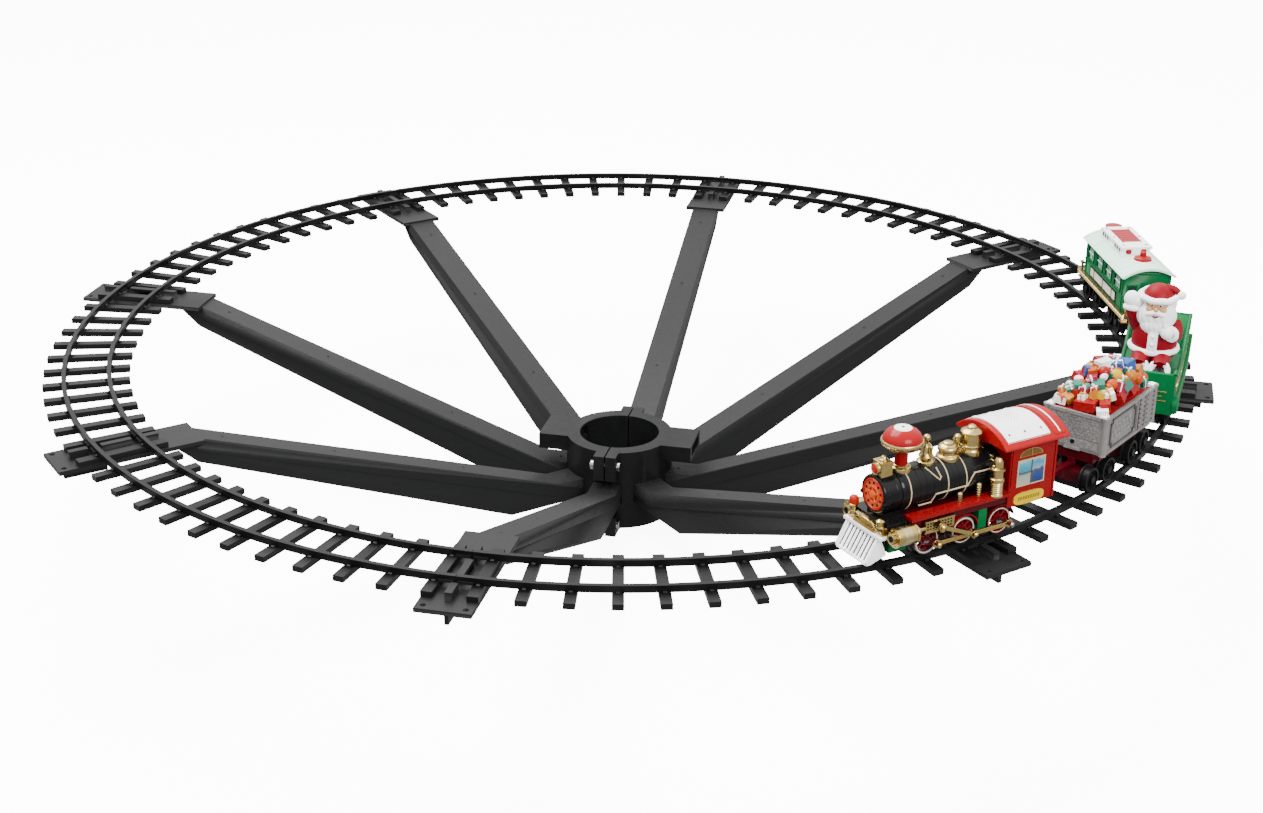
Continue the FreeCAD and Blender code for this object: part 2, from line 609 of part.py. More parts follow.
def bell():
    """The bell on its pedestal, under a round finial."""
    seat = "boiler_level+boiler_radius"
    standing("bell", "bell_place", [
        ("0", f"{seat}-2.5"), ("5", f"{seat}-2.5"), ("5.8", f"{seat}+0.6"), ("3.4", f"{seat}+2"),
        ("3.4", f"{seat}+3.6"), ("4.8", f"{seat}+4"), ("3.6", f"{seat}+6"), ("2.6", f"{seat}+11"),
        ("1.4", f"{seat}+12.6"), ("1.4", f"{seat}+14.4"), ("2.3", f"{seat}+16"),
        ("2.3", f"{seat}+17.6"), ("0", f"{seat}+19.4")])


def headlamp():
    """The box lamp on top of the smokebox."""
    case = box("lamp_case", ("50", "59"), ("-4.8", "4.8"), ("54", "65"))
    rim = rod("lamp_rim", "x", "3.8", "58", "60.6", ("0", "60"))
    knob = rod("lamp_knob", "z", "1.6", "64", "67.6", ("54", "0"))
    drum = rod("lamp_drum", "x", "smokebox_radius", "40", "70", ("0", "boiler_level"))
    solid = fuse("lamp_solid", [case, rim, knob])
    on_ring("headlamp", cut("headlamp", solid, [drum]), LOCO)


def cab():
    """The driver's cab, an open-topped shell, with the footplates along the boiler."""
    side = ("-cab_half", "cab_half")
    inner = ("-cab_half+cab_wall", "cab_half-cab_wall")
    outer = box("cab_outer", ("cab_rear", "boiler_rear"), side, ("cab_bottom", "cab_top"))
    hollow = box("cab_hollow", ("cab_rear+cab_wall", "boiler_rear-cab_wall"), inner,
                 ("plate_top", "cab_top+1"))
    deck_room = box("cab_deck_room", ("cab_rear-1", "boiler_rear+1"), ("-20.1", "20.1"),
                    ("cab_bottom-1", "plate_top"))
    plates = both_sides(lambda suffix, sign: box(
        f"footplate_{suffix}", ("boiler_rear-1", "46"),
        side_span(sign, "boiler_radius+0.6", "footplate_half"), ("plate_top", "footplate_top")))
    slot = box("switch_slot", ("cab_rear-1", "cab_rear+cab_wall+1"), ("-6.3", "6.3"),
               ("32", "36.2"))
    on_ring("cab", cut("cab", fuse("cab_solid", [outer, *plates]), [hollow, deck_room, slot]), LOCO)


def power_switch():
    """The sliding switch in the rear wall of the cab."""
    knob = box("switch_knob", ("cab_rear-1.4", "cab_rear+1"), ("-2.9", "2.9"), ("32.3", "35.9"))
    plate = box("switch_plate", ("cab_rear+cab_wall+0.1", "cab_rear+cab_wall+1.4"),
                ("-10", "10"), ("30", "38"))
    neck = box("switch_neck", ("cab_rear", "cab_rear+cab_wall+0.6"), ("-2.9", "2.9"),
               ("32.3", "35.9"))
    on_ring("power_switch", fuse("power_switch", [knob, neck, plate]), LOCO)


def vault(name, half, crown, eave, low, x):
    """An arched block over a car: a circular crown over flat eaves, flat underneath."""
    radius = f"((({half})^2+(({crown})-({eave}))^2)/(2*(({crown})-({eave}))))"
    barrel = rod(name + "_barrel", "x", radius, x[0], x[1], ("0", f"({crown})-{radius}"))
    block = box(name + "_block", x, (f"-({half})", half), (low, f"({crown})+1"))
    return common(name, [barrel, block])


def cab_roof():
    """The arched roof over the cab."""
    roof = vault("cab_roof", "roof_half", "roof_crown", "roof_eave", "cab_top",
                 ("roof_rear", "roof_front"))
    on_ring("cab_roof", roof, LOCO)


def cowcatcher():
    """A sloping grille of slats under a flat shelf."""
    shelf = box("catcher_shelf", ("61.2", "67"), ("-18.5", "18.5"), ("18", "20"))
    sill = box("catcher_sill", ("73", "76"), ("-16", "16"), ("1.6", "3.8"))
    spine = box("catcher_spine", ("60.2", "64"), ("-8", "8"), ("6", "18.6"))
    slats = []
    for index in range(9):
        place = f"({index - 4})*4.3"
        slat = box(f"catcher_slat{index}", ("0", "19.4"), ("0", "1.9"), ("0", "1.9"))
        slats.append(move(slat, ("65", f"{place}*0.86-0.95", "19"), V(0, 1, 0), "60"))
    apron = box("catcher_apron", ("60.4", "64"), ("-8", "8"), ("4", "7"))
    on_ring("cowcatcher", fuse("cowcatcher", [shelf, sill, spine, apron, *slats]), LOCO)


def front_beam():
    """The buffer beam that stands on the cowcatcher's shelf, with two lamps."""
    beam = box("beam_bar", ("62.2", "66.2"), ("-18.5", "18.5"), ("20", "26.4"))
    step = box("beam_step", ("64", "67"), ("-11", "11"), ("20", "23.6"))
    lamps = both_sides(lambda suffix, sign: rod(
        f"beam_lamp_{suffix}", "z", "2.6", "26", "30.6", ("65", f"({sign})*14.5")))
    on_ring("front_beam", fuse("front_beam", [beam, step, *lamps]), LOCO)


def steam_cylinders():
    """The cylinders, their piston rods and the crosshead guides, one solid a side."""
    def one(suffix, sign):
        name = f"cylinder_{suffix}"
        centre = (f"({sign})*cylinder_side", "cylinder_level")
        drum = rod(name + "_drum", "x", "cylinder_radius", "44", "61", centre)
        cap = rod(name + "_cap", "x", "cylinder_radius-2.4", "60", "63", centre)
        piston = rod(name + "_piston", "x", "1.4", "22", "45", (f"({sign})*22.4", "cylinder_level"))
        guide = box(name + "_guide", ("12", "35"), side_span(sign, "21", "23.6"), ("18", "25.8"))
        gland = rod(name + "_gland", "x", "3", "40.5", "44.5", (f"({sign})*22.8", "cylinder_level"))
        frame_room = box(name + "_room", ("10", "70"), side_span(sign, "10", "18.5"), ("10", "40"))
        plate_room = box(name + "_plate_room", ("10", "46.2"), side_span(sign, "10", "20"),
                         ("10", "40"))
        solid = fuse(name + "_solid", [drum, cap, piston, guide, gland])
        return cut(name, solid, [frame_room, plate_room])
    on_ring("steam_cylinders", group_of("steam_cylinders", both_sides(one)), LOCO)


def air_pumps():
    """Two banded pump columns that stand on the footplates, one solid a side."""
    profile = [("0", "footplate_top"), ("4.4", "footplate_top"), ("4.4", "40.6"), ("4.9", "41"),
               ("4.9", "43"), ("3.9", "43.6"), ("3.9", "48.6"), ("5", "49"), ("5", "50.4"),
               ("3.6", "51"), ("3.6", "54.6"), ("2.4", "56.8"), ("0", "58")]
    pumps = []
    for suffix, sign in (("l", "1"), ("r", "-1")):
        body = turned("pump_" + suffix, "XZ_Plane", "V_Axis", profile)
        pumps.append(move(body, ("pump_place", f"({sign})*21", "0")))
    on_ring("air_pumps", group_of("air_pumps", pumps), LOCO)


# ---------------------------------------------------------------- gift wagon

def gift_wagon():
    """An open tub heaped with parcels on a bogie frame."""
    sill = box("gift_sill", ("-gift_half+1", "gift_half-1"), ("-16", "16"),
               ("deck_bottom", "tub_bottom"))
    trims = both_sides(lambda suffix, sign: box(
        f"gift_trim_{suffix}", ("-gift_half", "gift_half"), side_span(sign, "15", "21"),
        ("tub_bottom-3.5", "tub_bottom")))
    underframe("gift_underframe", GIFT, [sill, *trims], LOCO, "loco_hitch")
    outer = box("tub_outer", ("-gift_half", "gift_half"), ("-tub_half", "tub_half"),
                ("tub_bottom", "tub_top"))
    inner = box("tub_inner", ("-gift_half+tub_wall", "gift_half-tub_wall"),
                ("-tub_half+tub_wall", "tub_half-tub_wall"), ("tub_bottom+tub_wall", "tub_top+1"))
    ribs = [box(f"tub_rib{index}", (f"{place}-1.4", f"{place}+1.4"), ("-tub_half-1", "tub_half+1"),
                ("tub_bottom", "tub_top"))
            for index, place in enumerate(("-gift_half+1.4", "gift_half-1.4"))]
    on_ring("gift_tub", cut("gift_tub", fuse("tub_solid", [outer, *ribs]), [inner]), GIFT)
    load = box("pile_load", ("-gift_half+tub_wall+0.2", "gift_half-tub_wall-0.2"),
               ("-tub_half+tub_wall+0.2", "tub_half-tub_wall-0.2"), ("tub_bottom+tub_wall", "tub_top"))
    across = vault("pile_across", "tub_half-3.4", "heap_top", "tub_top+3", "tub_bottom+4",
                   ("-gift_half+3.4", "gift_half-3.4"))
    radius = "(((gift_half-3.4)^2+(heap_top-tub_top-6)^2)/(2*(heap_top-tub_top-6)))"
    along = rod("pile_along", "y", radius, "-tub_half+3", "tub_half-3",
                ("0", f"heap_top-{radius}"))
    on_ring("gift_pile", fuse("gift_pile", [load, common("pile_top", [across, along])]), GIFT)


# ---------------------------------------------------------------- sleigh wagon

def sleigh_body():
    """A sleigh-shaped shell with a seat, open above, that hides its bogies."""
    body = new_body("sleigh_shell")
    outer = sketch_on(body, "XZ_Plane", "side")
    polygon(outer, [("52", "12"), ("52.4", "30"), ("50.5", "43"), ("47", "45"), ("40", "38"),
                    ("24", "33"), ("4", "33"), ("-14", "37"), ("-30", "47"), ("-41", "54"),
                    ("-47", "56"), ("-51", "55"), ("-50", "46"), ("-50", "12")])
    pad(body, outer, "2*sleigh_half")
    under = sketch_on(body, "XZ_Plane", "under")
    polygon(under, [("50.6", "10"), ("50.6", "deck_bottom+2"), ("-48.4", "deck_bottom+2"),
                    ("-48.4", "10")])
    pocket(body, under, "2*(sleigh_half-sleigh_wall)")
    seat = sketch_on(body, "XZ_Plane", "seat")
    polygon(seat, [("49", "62"), ("49", "26"), ("16", "26"), ("9", "36"), ("-26", "36"),
                   ("-41", "60")])
    pocket(body, seat, "2*(sleigh_half-2.6)")
    notch = box("sleigh_notch", ("-51", "53"), ("-10", "10"), ("10", "bar_top+1.4"))
    return cut("sleigh_cut", body, [notch])


def figure():
    """A seated bearded figure in a coat, hat and boots, one arm raised."""
    legs = both_sides(lambda suffix, sign: rod(
        f"leg_{suffix}", "x", "7", "4", "28", (f"({sign})*7.4", "43.2")))
    boots = both_sides(lambda suffix, sign: ball(
        f"boot_{suffix}", "6.4", ("28.4", f"({sign})*7.8", "33.6")))
    coat = cone("coat", "16.5", "12", "32", ("0", "0", "38"))
    head = ball("head", "12.4", ("5", "0", "82"))
    beard = ball("beard", "11.6", ("8.6", "0", "74"))
    beard_tip = ball("beard_tip", "7.5", ("12.5", "0", "65"))
    hat = cone("hat", "12.6", "7.5", "8", ("4", "0", "86"))
    crown = ball("hat_crown", "8.2", ("4.2", "1", "88"))
    pompom = ball("pompom", "3.2", ("4", "16", "89.3"))
    brim = rod("hat_brim", "z", "13.4", "86", "90", ("4", "0"))
    raised = cone("raised_arm", "6.4", "5.2", "23", ("2", "-13.5", "58"), V(5.1, 5.6, 0), "19")
    mitten = ball("mitten", "6.2", ("8", "-19", "83"))
    resting = cone("resting_arm", "6", "5", "18", ("0", "12.4", "66"), tilt="112")
    hand = ball("resting_hand", "5.4", ("16", "10.6", "60"))
    shapes = [*legs, *boots, coat, head, beard, beard_tip, hat, crown, pompom, brim, raised, mitten,
              resting, hand]
    on_ring("figure", fuse("figure", shapes), SLEIGH)


def sleigh_wagon():
    deck = box("sleigh_deck", ("-40", "44"), ("-11", "11"), ("deck_bottom", "deck_bottom+2"))
    bars, hole = drawbar("sleigh_bar", SLEIGH, GIFT, "-hitch_place")
    pin = hitch("sleigh", "-hitch_place", "deck_bottom+1")
    solid = fuse("sleigh_solid", [sleigh_body(), deck, *bars, pin])
    on_ring("sleigh", cut("sleigh", solid, [hole, *pivot_holes("sleigh", SLEIGH)]), SLEIGH)
    figure()


# ---------------------------------------------------------------- coach

def coach_underframe():
    """The gold deck with end platforms and their railings."""
    deck = box("coach_deck", ("-coach_deck_half", "coach_deck_half"), ("-20", "20"),
               ("deck_bottom", "coach_floor"))
    rails = both_sides(lambda suffix, sign: box(
        f"coach_solebar_{suffix}", ("-coach_deck_half", "coach_deck_half"),
        side_span(sign, "20", "22.4"), ("deck_bottom-1.5", "coach_floor+1")))
    ends = []
    for way in ("1", "-1"):
        name = "coach_end_" + ("front" if way == "1" else "rear")
        ends += [box(f"{name}_post{index}", side_span(way, "coach_deck_half-1.6", "coach_deck_half"),
                     (f"{place}-0.8", f"{place}+0.8"), ("coach_floor-1", "26.4"))
                 for index, place in enumerate(("-19", "-12.6", "-6.3", "6.3", "12.6", "19"))]
        ends.append(box(name + "_rail", side_span(way, "coach_deck_half-1.6", "coach_deck_half"),
                        ("-19.8", "19.8"), ("25.8", "27.4")))
    underframe("coach_underframe", COACH, [deck, *rails, *ends], SLEIGH, "-hitch_place")


def coach_body():
    """The windowed coach shell, with arched end walls."""
    x = ("-coach_half", "coach_half")
    block = box("coach_block", x, ("-coach_side", "coach_side"), ("coach_floor", "coach_eave-0.4"))
    arch = vault("coach_arch", "coach_side", "coach_crown-2.2", "coach_eave-0.4", "coach_eave-1", x)
    hollow = box("coach_hollow", ("-coach_half+shell", "coach_half-shell"),
                 ("-coach_side+shell", "coach_side-shell"), ("coach_floor+shell", "coach_eave-1.2"))
    windows = [box(f"coach_window{index}", (f"({index - 1.5})*23.4-7", f"({index - 1.5})*23.4+7"),
                   ("-coach_side-1", "coach_side+1"), ("38", "48")) for index in range(4)]
    on_ring("coach_body", cut("coach_body", fuse("coach_shell", [block, arch]),
                              [hollow, *windows]), COACH)


def coach_roof():
    """The thin arched roof with its clerestory and two round lamps."""
    x = ("-coach_roof_half", "coach_roof_half")
    outer = vault("roof_outer", "coach_roof_side", "coach_crown", "coach_eave", "coach_eave-0.6", x)
    radius = "((coach_roof_side^2+(coach_crown-coach_eave)^2)/(2*(coach_crown-coach_eave)))"
    inner = rod("roof_inner", "x", f"{radius}-1.8", "-coach_roof_half-1", "coach_roof_half+1",
                ("0", f"coach_crown-{radius}"))
    tower = box("roof_tower", ("-36", "16"), ("-12", "12"), ("coach_crown-2", "65.5"))
    lamps = [rod("roof_lamp0", "z", "7", "coach_crown-1.6", "coach_crown+3", ("33", "0")),
             rod("roof_stalk0", "z", "2.6", "coach_crown+2", "66", ("33", "0")),
             rod("roof_lamp1", "z", "7", "coach_crown-1.6", "coach_crown+6", ("-44", "0"))]
    lip = fuse("roof_top", [tower, *lamps])
    arch_room = vault("roof_room", "coach_side", "coach_crown-2.1", "coach_eave-0.3",
                      "coach_eave-1", ("-coach_half-0.1", "coach_half+0.1"))
    shell = cut("roof_shell", outer, [inner])
    on_ring("coach_roof", cut("coach_roof", fuse("roof_solid", [shell, lip]), [arch_room]), COACH)


# ---------------------------------------------------------------- the whole train set

hub_half("hub_half_right", "1")
hub_half("hub_half_left", "-1")
clamp_bolts()
grip_jaw("grip_jaw_right", "1")
grip_jaw("grip_jaw_left", "-1")
spokes()
for number in range(1, int(value("section_count")) + 1):
    track_section(number)

loco_chassis()
boiler()
smokebox()
chimney()
domes()
bell()
headlamp()
cab()
power_switch()
cab_roof()
cowcatcher()
front_beam()
steam_cylinders()
air_pumps()
for label, place in (("front", "driver_base"), ("middle", "0"), ("rear", "-driver_base")):
    driver_wheels(f"driving_wheels_{label}", place)
side_rod("side_rod_left", "1")
side_rod("side_rod_right", "-1")

gift_wagon()
sleigh_wagon()
coach_underframe()
coach_body()
coach_roof()
for prefix, car in (("gift", GIFT), ("sleigh", SLEIGH), ("coach", COACH)):
    bogie(f"{prefix}_bogie_front", car, "1")
    bogie(f"{prefix}_bogie_rear", car, "-1")

doc.recompute()

failed = [item.Label for item in doc.Objects
          if "Invalid" in item.State or "Error" in item.State]
failed += [item.Label for item in parts if item.Shape.isNull() or not item.Shape.isValid()]
if failed:
    raise RuntimeError("these objects are not sound: " + ", ".join(failed))

os.makedirs("parts", exist_ok=True)
for item in parts:
    item.Shape.exportStep(f"parts/{item.Label}.step")
    print(f"{item.Label:28s} {len(item.Shape.Solids)} solids {item.Shape.Volume:10.1f} mm3")
print(len(parts), "sub-parts")
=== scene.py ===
import json
import math
import random

import bmesh
import bpy
from mathutils import Matrix, Vector


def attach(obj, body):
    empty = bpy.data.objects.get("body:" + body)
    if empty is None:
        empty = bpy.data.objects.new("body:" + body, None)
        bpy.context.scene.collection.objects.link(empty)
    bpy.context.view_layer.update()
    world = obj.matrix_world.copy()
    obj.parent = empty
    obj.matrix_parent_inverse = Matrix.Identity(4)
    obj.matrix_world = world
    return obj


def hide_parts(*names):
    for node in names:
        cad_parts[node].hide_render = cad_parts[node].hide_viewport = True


# The looks of a toy train on a ring of track. Every car is built in its own frame, in
# millimetres: x is the direction of travel, y points away from the trunk, z is the height
# above the rails. The hub and the ring are built in the row frame turned to the first spoke.

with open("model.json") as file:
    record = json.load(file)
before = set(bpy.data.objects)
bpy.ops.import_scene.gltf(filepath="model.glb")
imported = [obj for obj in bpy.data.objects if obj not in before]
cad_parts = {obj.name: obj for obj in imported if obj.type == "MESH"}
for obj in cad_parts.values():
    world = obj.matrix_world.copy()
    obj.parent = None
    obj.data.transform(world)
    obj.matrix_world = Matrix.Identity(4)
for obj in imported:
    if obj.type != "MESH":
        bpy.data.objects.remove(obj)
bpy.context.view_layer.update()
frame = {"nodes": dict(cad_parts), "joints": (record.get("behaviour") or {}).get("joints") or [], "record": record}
random.seed(7)

MM = 0.001
joints = {joint["name"]: joint for joint in frame["joints"]}


# ---------------------------------------------------------------- frames

def joint_point(name):
    """Where a joint is, in metres in the row frame."""
    return Vector(joints[name]["pos_m"])


RAIL = joint_point("train_travel").z


def car_frame(front, rear):
    """A car's frame at rail level, midway between two of its joints."""
    a, b = joint_point(front), joint_point(rear)
    return local_frame((a.x + b.x) / 2, (a.y + b.y) / 2, RAIL, (a - b).normalized())


def local_frame(x, y, z, x_axis):
    """Millimetres in a frame at a point, with z up, as a matrix into the row frame."""
    up = Vector((0, 0, 1))
    turn = Matrix((x_axis, up.cross(x_axis), up)).transposed().to_4x4()
    return Matrix.Translation((x, y, z)) @ turn @ Matrix.Scale(MM, 4)


LOCO = car_frame("drivers_front_spin", "drivers_rear_spin")
GIFT = car_frame("gift_bogie_front_pivot", "gift_bogie_rear_pivot")
SLEIGH = car_frame("sleigh_bogie_front_pivot", "sleigh_bogie_rear_pivot")
COACH = car_frame("coach_bogie_front_pivot", "coach_bogie_rear_pivot")
HUB = local_frame(0, 0, 0, -Vector(joints["jaw_right_slide"]["axis"]))


# ---------------------------------------------------------------- materials

class Graph:
    """A few short calls for building a material's nodes."""

    def __init__(self, name):
        self.material = bpy.data.materials.new(name)
        self.material.use_nodes = True
        self.nodes = self.material.node_tree.nodes
        self.shader = self.nodes["Principled BSDF"]
        self.place = self.node("Attribute", attribute_name="local").outputs["Vector"]

    def wire(self, node, inputs):
        """Give a node's inputs a value each, or join them to another node's output."""
        for name, source in inputs.items():
            socket = node.inputs[name.replace("_", " ") if isinstance(name, str) else name]
            if isinstance(source, bpy.types.NodeSocket):
                self.material.node_tree.links.new(source, socket)
            else:
                socket.default_value = source

    def node(self, kind, inputs=(), **settings):
        node = self.nodes.new("ShaderNode" + kind)
        for name, setting in settings.items():
            setattr(node, name, setting)
        self.wire(node, dict(inputs))
        return node

    def math(self, operation, *sources):
        return self.node("Math", enumerate(sources), operation=operation).outputs[0]

    def noise(self, scale, detail=3, rough=0.5, stretch=None):
        place = self.place
        if stretch:
            place = self.node("Mapping", {"Scale": stretch, "Vector": place}).outputs[0]
        return self.node("TexNoise", {"Scale": scale, "Detail": detail, "Roughness": rough,
                                      "Vector": place}).outputs["Fac"]

    def ramp(self, source, stops):
        node = self.node("ValToRGB", {"Fac": source})
        while len(node.color_ramp.elements) < len(stops):
            node.color_ramp.elements.new(0.5)
        for element, (at, colour) in zip(node.color_ramp.elements, stops):
            element.position = at
            element.color = (*colour, 1)
        return node.outputs["Color"]

    def span(self, source, low, high, from_low=0.3, from_high=0.7):
        return self.node("MapRange", {"Value": source, "From Min": from_low, "To Min": low,
                                      "From Max": from_high, "To Max": high}).outputs["Result"]

    def mix(self, factor, first, second):
        """A blend of two colours, each a socket or three numbers."""
        first, second = ((*source, 1) if isinstance(source, tuple) else source
                         for source in (first, second))
        return self.node("Mix", {"Factor": factor, "A": first, "B": second},
                         data_type="RGBA").outputs["Result"]

    def edges(self, low=0.52, high=0.6):
        """Convex outer edges, nearly 1 there and 0 elsewhere: worn edges on painted plastic, and a painted
        highlight on the edges of black mouldings.
        """
        return self.span(self.node("NewGeometry").outputs["Pointiness"], 0, 1, low, high)

    def bump(self, source, strength, distance, under=None):
        inputs = {"Strength": strength, "Distance": distance, "Height": source}
        if under:
            inputs["Normal"] = under
        return self.node("Bump", inputs).outputs["Normal"]

    def set(self, **inputs):
        """Set the shader's own inputs, or join something to them."""
        self.wire(self.shader, inputs)


def shade(colour, factor):
    """A colour made darker or paler."""
    return tuple(min(1, channel * factor) for channel in colour)


def plastic(name, colour, rough=0.35, wear=0.08, grain=0.25, gloss=0.0, tint=None, spread=0.14,
            metal=0.0, glow=0.0):
    """Moulded or painted plastic: uneven tone, orange-peel bump, varied gloss, paler worn edges, and an optional
    painted glow.
    """
    graph = Graph(name)
    base = graph.ramp(graph.noise(90, 5, 0.6), [(0.3, shade(colour, 1 - spread)),
                                                (0.7, shade(colour, 1 + spread))])
    worn = tint or tuple(channel + (1 - channel) * 0.13 for channel in colour)
    patch = graph.span(graph.noise(700, 4), 0, wear, 0.45, 0.75)
    peel = graph.bump(graph.noise(1500, 2), grain, 0.00006)
    graph.set(Base_Color=graph.mix(graph.math("MULTIPLY", graph.edges(), patch), base, worn),
              Roughness=graph.span(graph.noise(260, 6, 0.65), rough - 0.04, rough + 0.07),
              Normal=graph.bump(graph.noise(160, 3), grain * 0.7, 0.0002, peel), Metallic=metal,
              Specular_IOR_Level=0.1, Coat_Weight=gloss / 3, Coat_Roughness=0.08)
    # Emission here is a painted glow: it makes a lens look lit by light coming through its plastic, not a lamp.
    if glow:
        graph.set(Emission_Color=(*colour, 1), Emission_Strength=glow)
    return graph.material


def streaked(name, colour, rough, stretch):
    """Black moulded plastic with long faint flow lines and a painted highlight on its edges."""
    graph = Graph(name)
    flow = graph.noise(60, 6, 0.7, stretch)
    base = graph.ramp(flow, [(0.3, shade(colour, 0.8)), (0.7, shade(colour, 1.3))])
    # Convex edges are mixed towards a paler tone: a painted highlight where light catches the edges of the black
    # plastic.
    edge_highlight = tuple(channel * 1.5 + 0.017 for channel in colour)
    fine = graph.bump(graph.noise(2200, 2), 0.35, 0.00005)
    graph.set(Base_Color=graph.mix(graph.span(graph.edges(), 0, 0.3, 0, 1), base, edge_highlight),
              Roughness=graph.span(graph.noise(120, 5, 0.6, stretch), rough - 0.05, rough + 0.07),
              Normal=graph.bump(flow, 0.2, 0.00012, fine), Specular_IOR_Level=0.1)
    return graph.material


def window_picture():
    """The printed view in a cab window: sky over snow, with a dark block of trees."""
    graph = Graph("window_print")
    place = graph.node("SeparateXYZ", {"Vector": graph.place}).outputs
    cloud = graph.noise(260, 4)
    level = graph.span(graph.math("MULTIPLY_ADD", cloud, 0.006, place["Z"]), 0, 1, 0.036, 0.054)
    sky = graph.ramp(level, [(0.0, (0.28, 0.27, 0.19)), (0.34, (0.18, 0.23, 0.19)),
                             (0.46, (0.0091, 0.14, 0.23)), (0.7, (0.0091, 0.2, 0.3)),
                             (0.86, (0.045, 0.25, 0.33)), (1.0, (0.27, 0.35, 0.36))])
    trees = graph.ramp(level, [(0.0, (0.0023, 0.014, 0.073)), (0.4, (0.0045, 0.032, 0.16)),
                               (0.5, (0.0091, 0.055, 0.19)), (0.58, (0.14, 0.23, 0.3)),
                               (0.8, (0.014, 0.15, 0.28)), (1.0, (0.16, 0.27, 0.34))])
    side = graph.span(place["X"], 1, 0, -0.0526, -0.0512)
    graph.set(Base_Color=graph.mix(side, sky, trees), Roughness=graph.span(cloud, 0.18, 0.35),
              Normal=graph.bump(graph.noise(1800), 0.15, 0.00005))
    return graph.material


def chrome_gold(name, colour, rough):
    """Vacuum-plated plastic: bright metal with soft ripples and dull patches."""
    graph = Graph(name)
    ripple = graph.bump(graph.noise(420, 2), 0.35, 0.00012)
    graph.set(Base_Color=graph.ramp(graph.noise(220, 5, 0.6), [(0.3, shade(colour, 0.78)),
                                                               (0.7, shade(colour, 1.1))]),
              Roughness=graph.span(graph.noise(500, 5), rough - 0.07, rough + 0.14),
              Normal=graph.bump(graph.noise(2500, 2), 0.2, 0.00004, ripple), Metallic=1.0)
    return graph.material


BLACK = streaked("black_moulding", (0.0042, 0.0042, 0.0044), 0.42, (1, 1, 1))
SPOKE_BLACK = streaked("spoke_moulding", (0.005, 0.005, 0.0052), 0.42, (0.4, 7, 7))
RAIL_BLACK = streaked("rail_moulding", (0.0033, 0.0033, 0.0035), 0.34, (0.5, 5, 5))
STEEL = chrome_gold("bright_steel", (0.3, 0.3, 0.31), 0.2)
GOLD = chrome_gold("plated_gold", (0.46, 0.34, 0.125), 0.2)
PALE_GOLD = chrome_gold("pale_gold", (0.52, 0.43, 0.21), 0.24)
RED = plastic("red_gloss", (0.16, 0.0006, 0.002), 0.24, gloss=0.2, grain=0.18, spread=0.08)
DOME_RED = plastic("dome_red", (0.24, 0.0008, 0.003), 0.2, gloss=0.4, grain=0.15, spread=0.08)
LINE = plastic("line_gold", (0.37, 0.29, 0.17), 0.3)
ROOF_RED = plastic("roof_red", (0.24, 0.0015, 0.003), 0.3, gloss=0.15, spread=0.08)
WHEEL_RED = plastic("wheel_red", (0.11, 0.00083, 0.0037), 0.3)
DARK_RED = plastic("dark_red", (0.042, 0.00083, 0.0029), 0.3)
CREAM = plastic("cream_rim", (0.53, 0.49, 0.4), 0.35)
WHITE = plastic("white_gloss", (0.88, 0.88, 0.88), 0.26, gloss=0.2, spread=0.05,
                tint=(0.95, 0.95, 0.95))
MINT = plastic("mint_white", (0.56, 0.8, 0.66), 0.3, spread=0.07)
BOILER = plastic("boiler_black", (0.0033, 0.0033, 0.0037), 0.18, wear=0.06, gloss=0.4, grain=0.3)
GREEN = plastic("green_gloss", (0, 0.09, 0.023), 0.3, gloss=0.15, tint=(0.004, 0.13, 0.04))
DARK_GREEN = plastic("dark_green", (0, 0.035, 0.013), 0.25, gloss=0.3)
SMOKED_GREEN = plastic("smoked_green", (0, 0.025, 0.0092), 0.25, gloss=0.2)
RUNNING_BLACK = plastic("running_black", (0.0037, 0.0033, 0.0033), 0.42, wear=0.15)
# Flat black: painted shade in holes, in the cowcatcher's hollow and in the coach's interior, and the real black of
# the figure's eye pupils.
SHADE_AND_PUPIL_BLACK = plastic("hole_black", (0.0025, 0.0025, 0.0025), 0.6)
# Orange lens plastics with a painted glow, standing for light coming through the translucent plastic, not a lamp;
# the paler one also stands for painted highlights on the smokebox face.
LENS_RED = plastic("lens_red", (0.3, 0.0067, 0.00083), 0.2, gloss=0.2, glow=0.2)
LENS_PAINTED_GLOW = plastic("lens_glow", (0.4, 0.05, 0.0083), 0.25, gloss=0.2, glow=0.5)
SMOKED_GREY = plastic("smoked_grey", (0.083, 0.087, 0.092), 0.15, gloss=0.4)
YELLOW = plastic("plate_yellow", (0.5, 0.34, 0), 0.3)
OLIVE = plastic("plate_olive", (0.18, 0.12, 0.0018), 0.35)
BROWN = plastic("plate_brown", (0.091, 0.045, 0.0091), 0.4)
TUB_GREY = plastic("tub_grey", (0.17, 0.163, 0.157), 0.34, wear=0.8, grain=0.5,
                   tint=(0.34, 0.33, 0.32), metal=0.3)
TUB_SHADE = plastic("tub_shade", (0.055, 0.05, 0.047), 0.45, grain=0.5, metal=0.2)
SKIN = plastic("figure_skin", (0.48, 0.26, 0.12), 0.42, wear=0.05, spread=0.08)
COAT_RED = plastic("coat_red", (0.17, 0.0013, 0.0067), 0.42, grain=0.6)
FUR = plastic("fur_white", (0.88, 0.88, 0.9), 0.55, grain=0.9, spread=0.05)
BOOT = plastic("boot_black", (0.0063, 0.0071, 0.0083), 0.3)
LIP = plastic("lip_rose", (0.19, 0.021, 0.042), 0.35)
PICTURE = window_picture()
PARCELS = [plastic(f"parcel_{name}", colour, 0.26, gloss=0.3) for name, colour in (
    ("red", (0.22, 0.003, 0.005)), ("orange", (0.34, 0.05, 0.002)), ("amber", (0.34, 0.11, 0.005)),
    ("yellow", (0.4, 0.25, 0.012)), ("teal", (0.012, 0.13, 0.09)), ("blue", (0.014, 0.06, 0.21)),
    ("white", (0.7, 0.68, 0.66)), ("rose", (0.2, 0.008, 0.028)))]


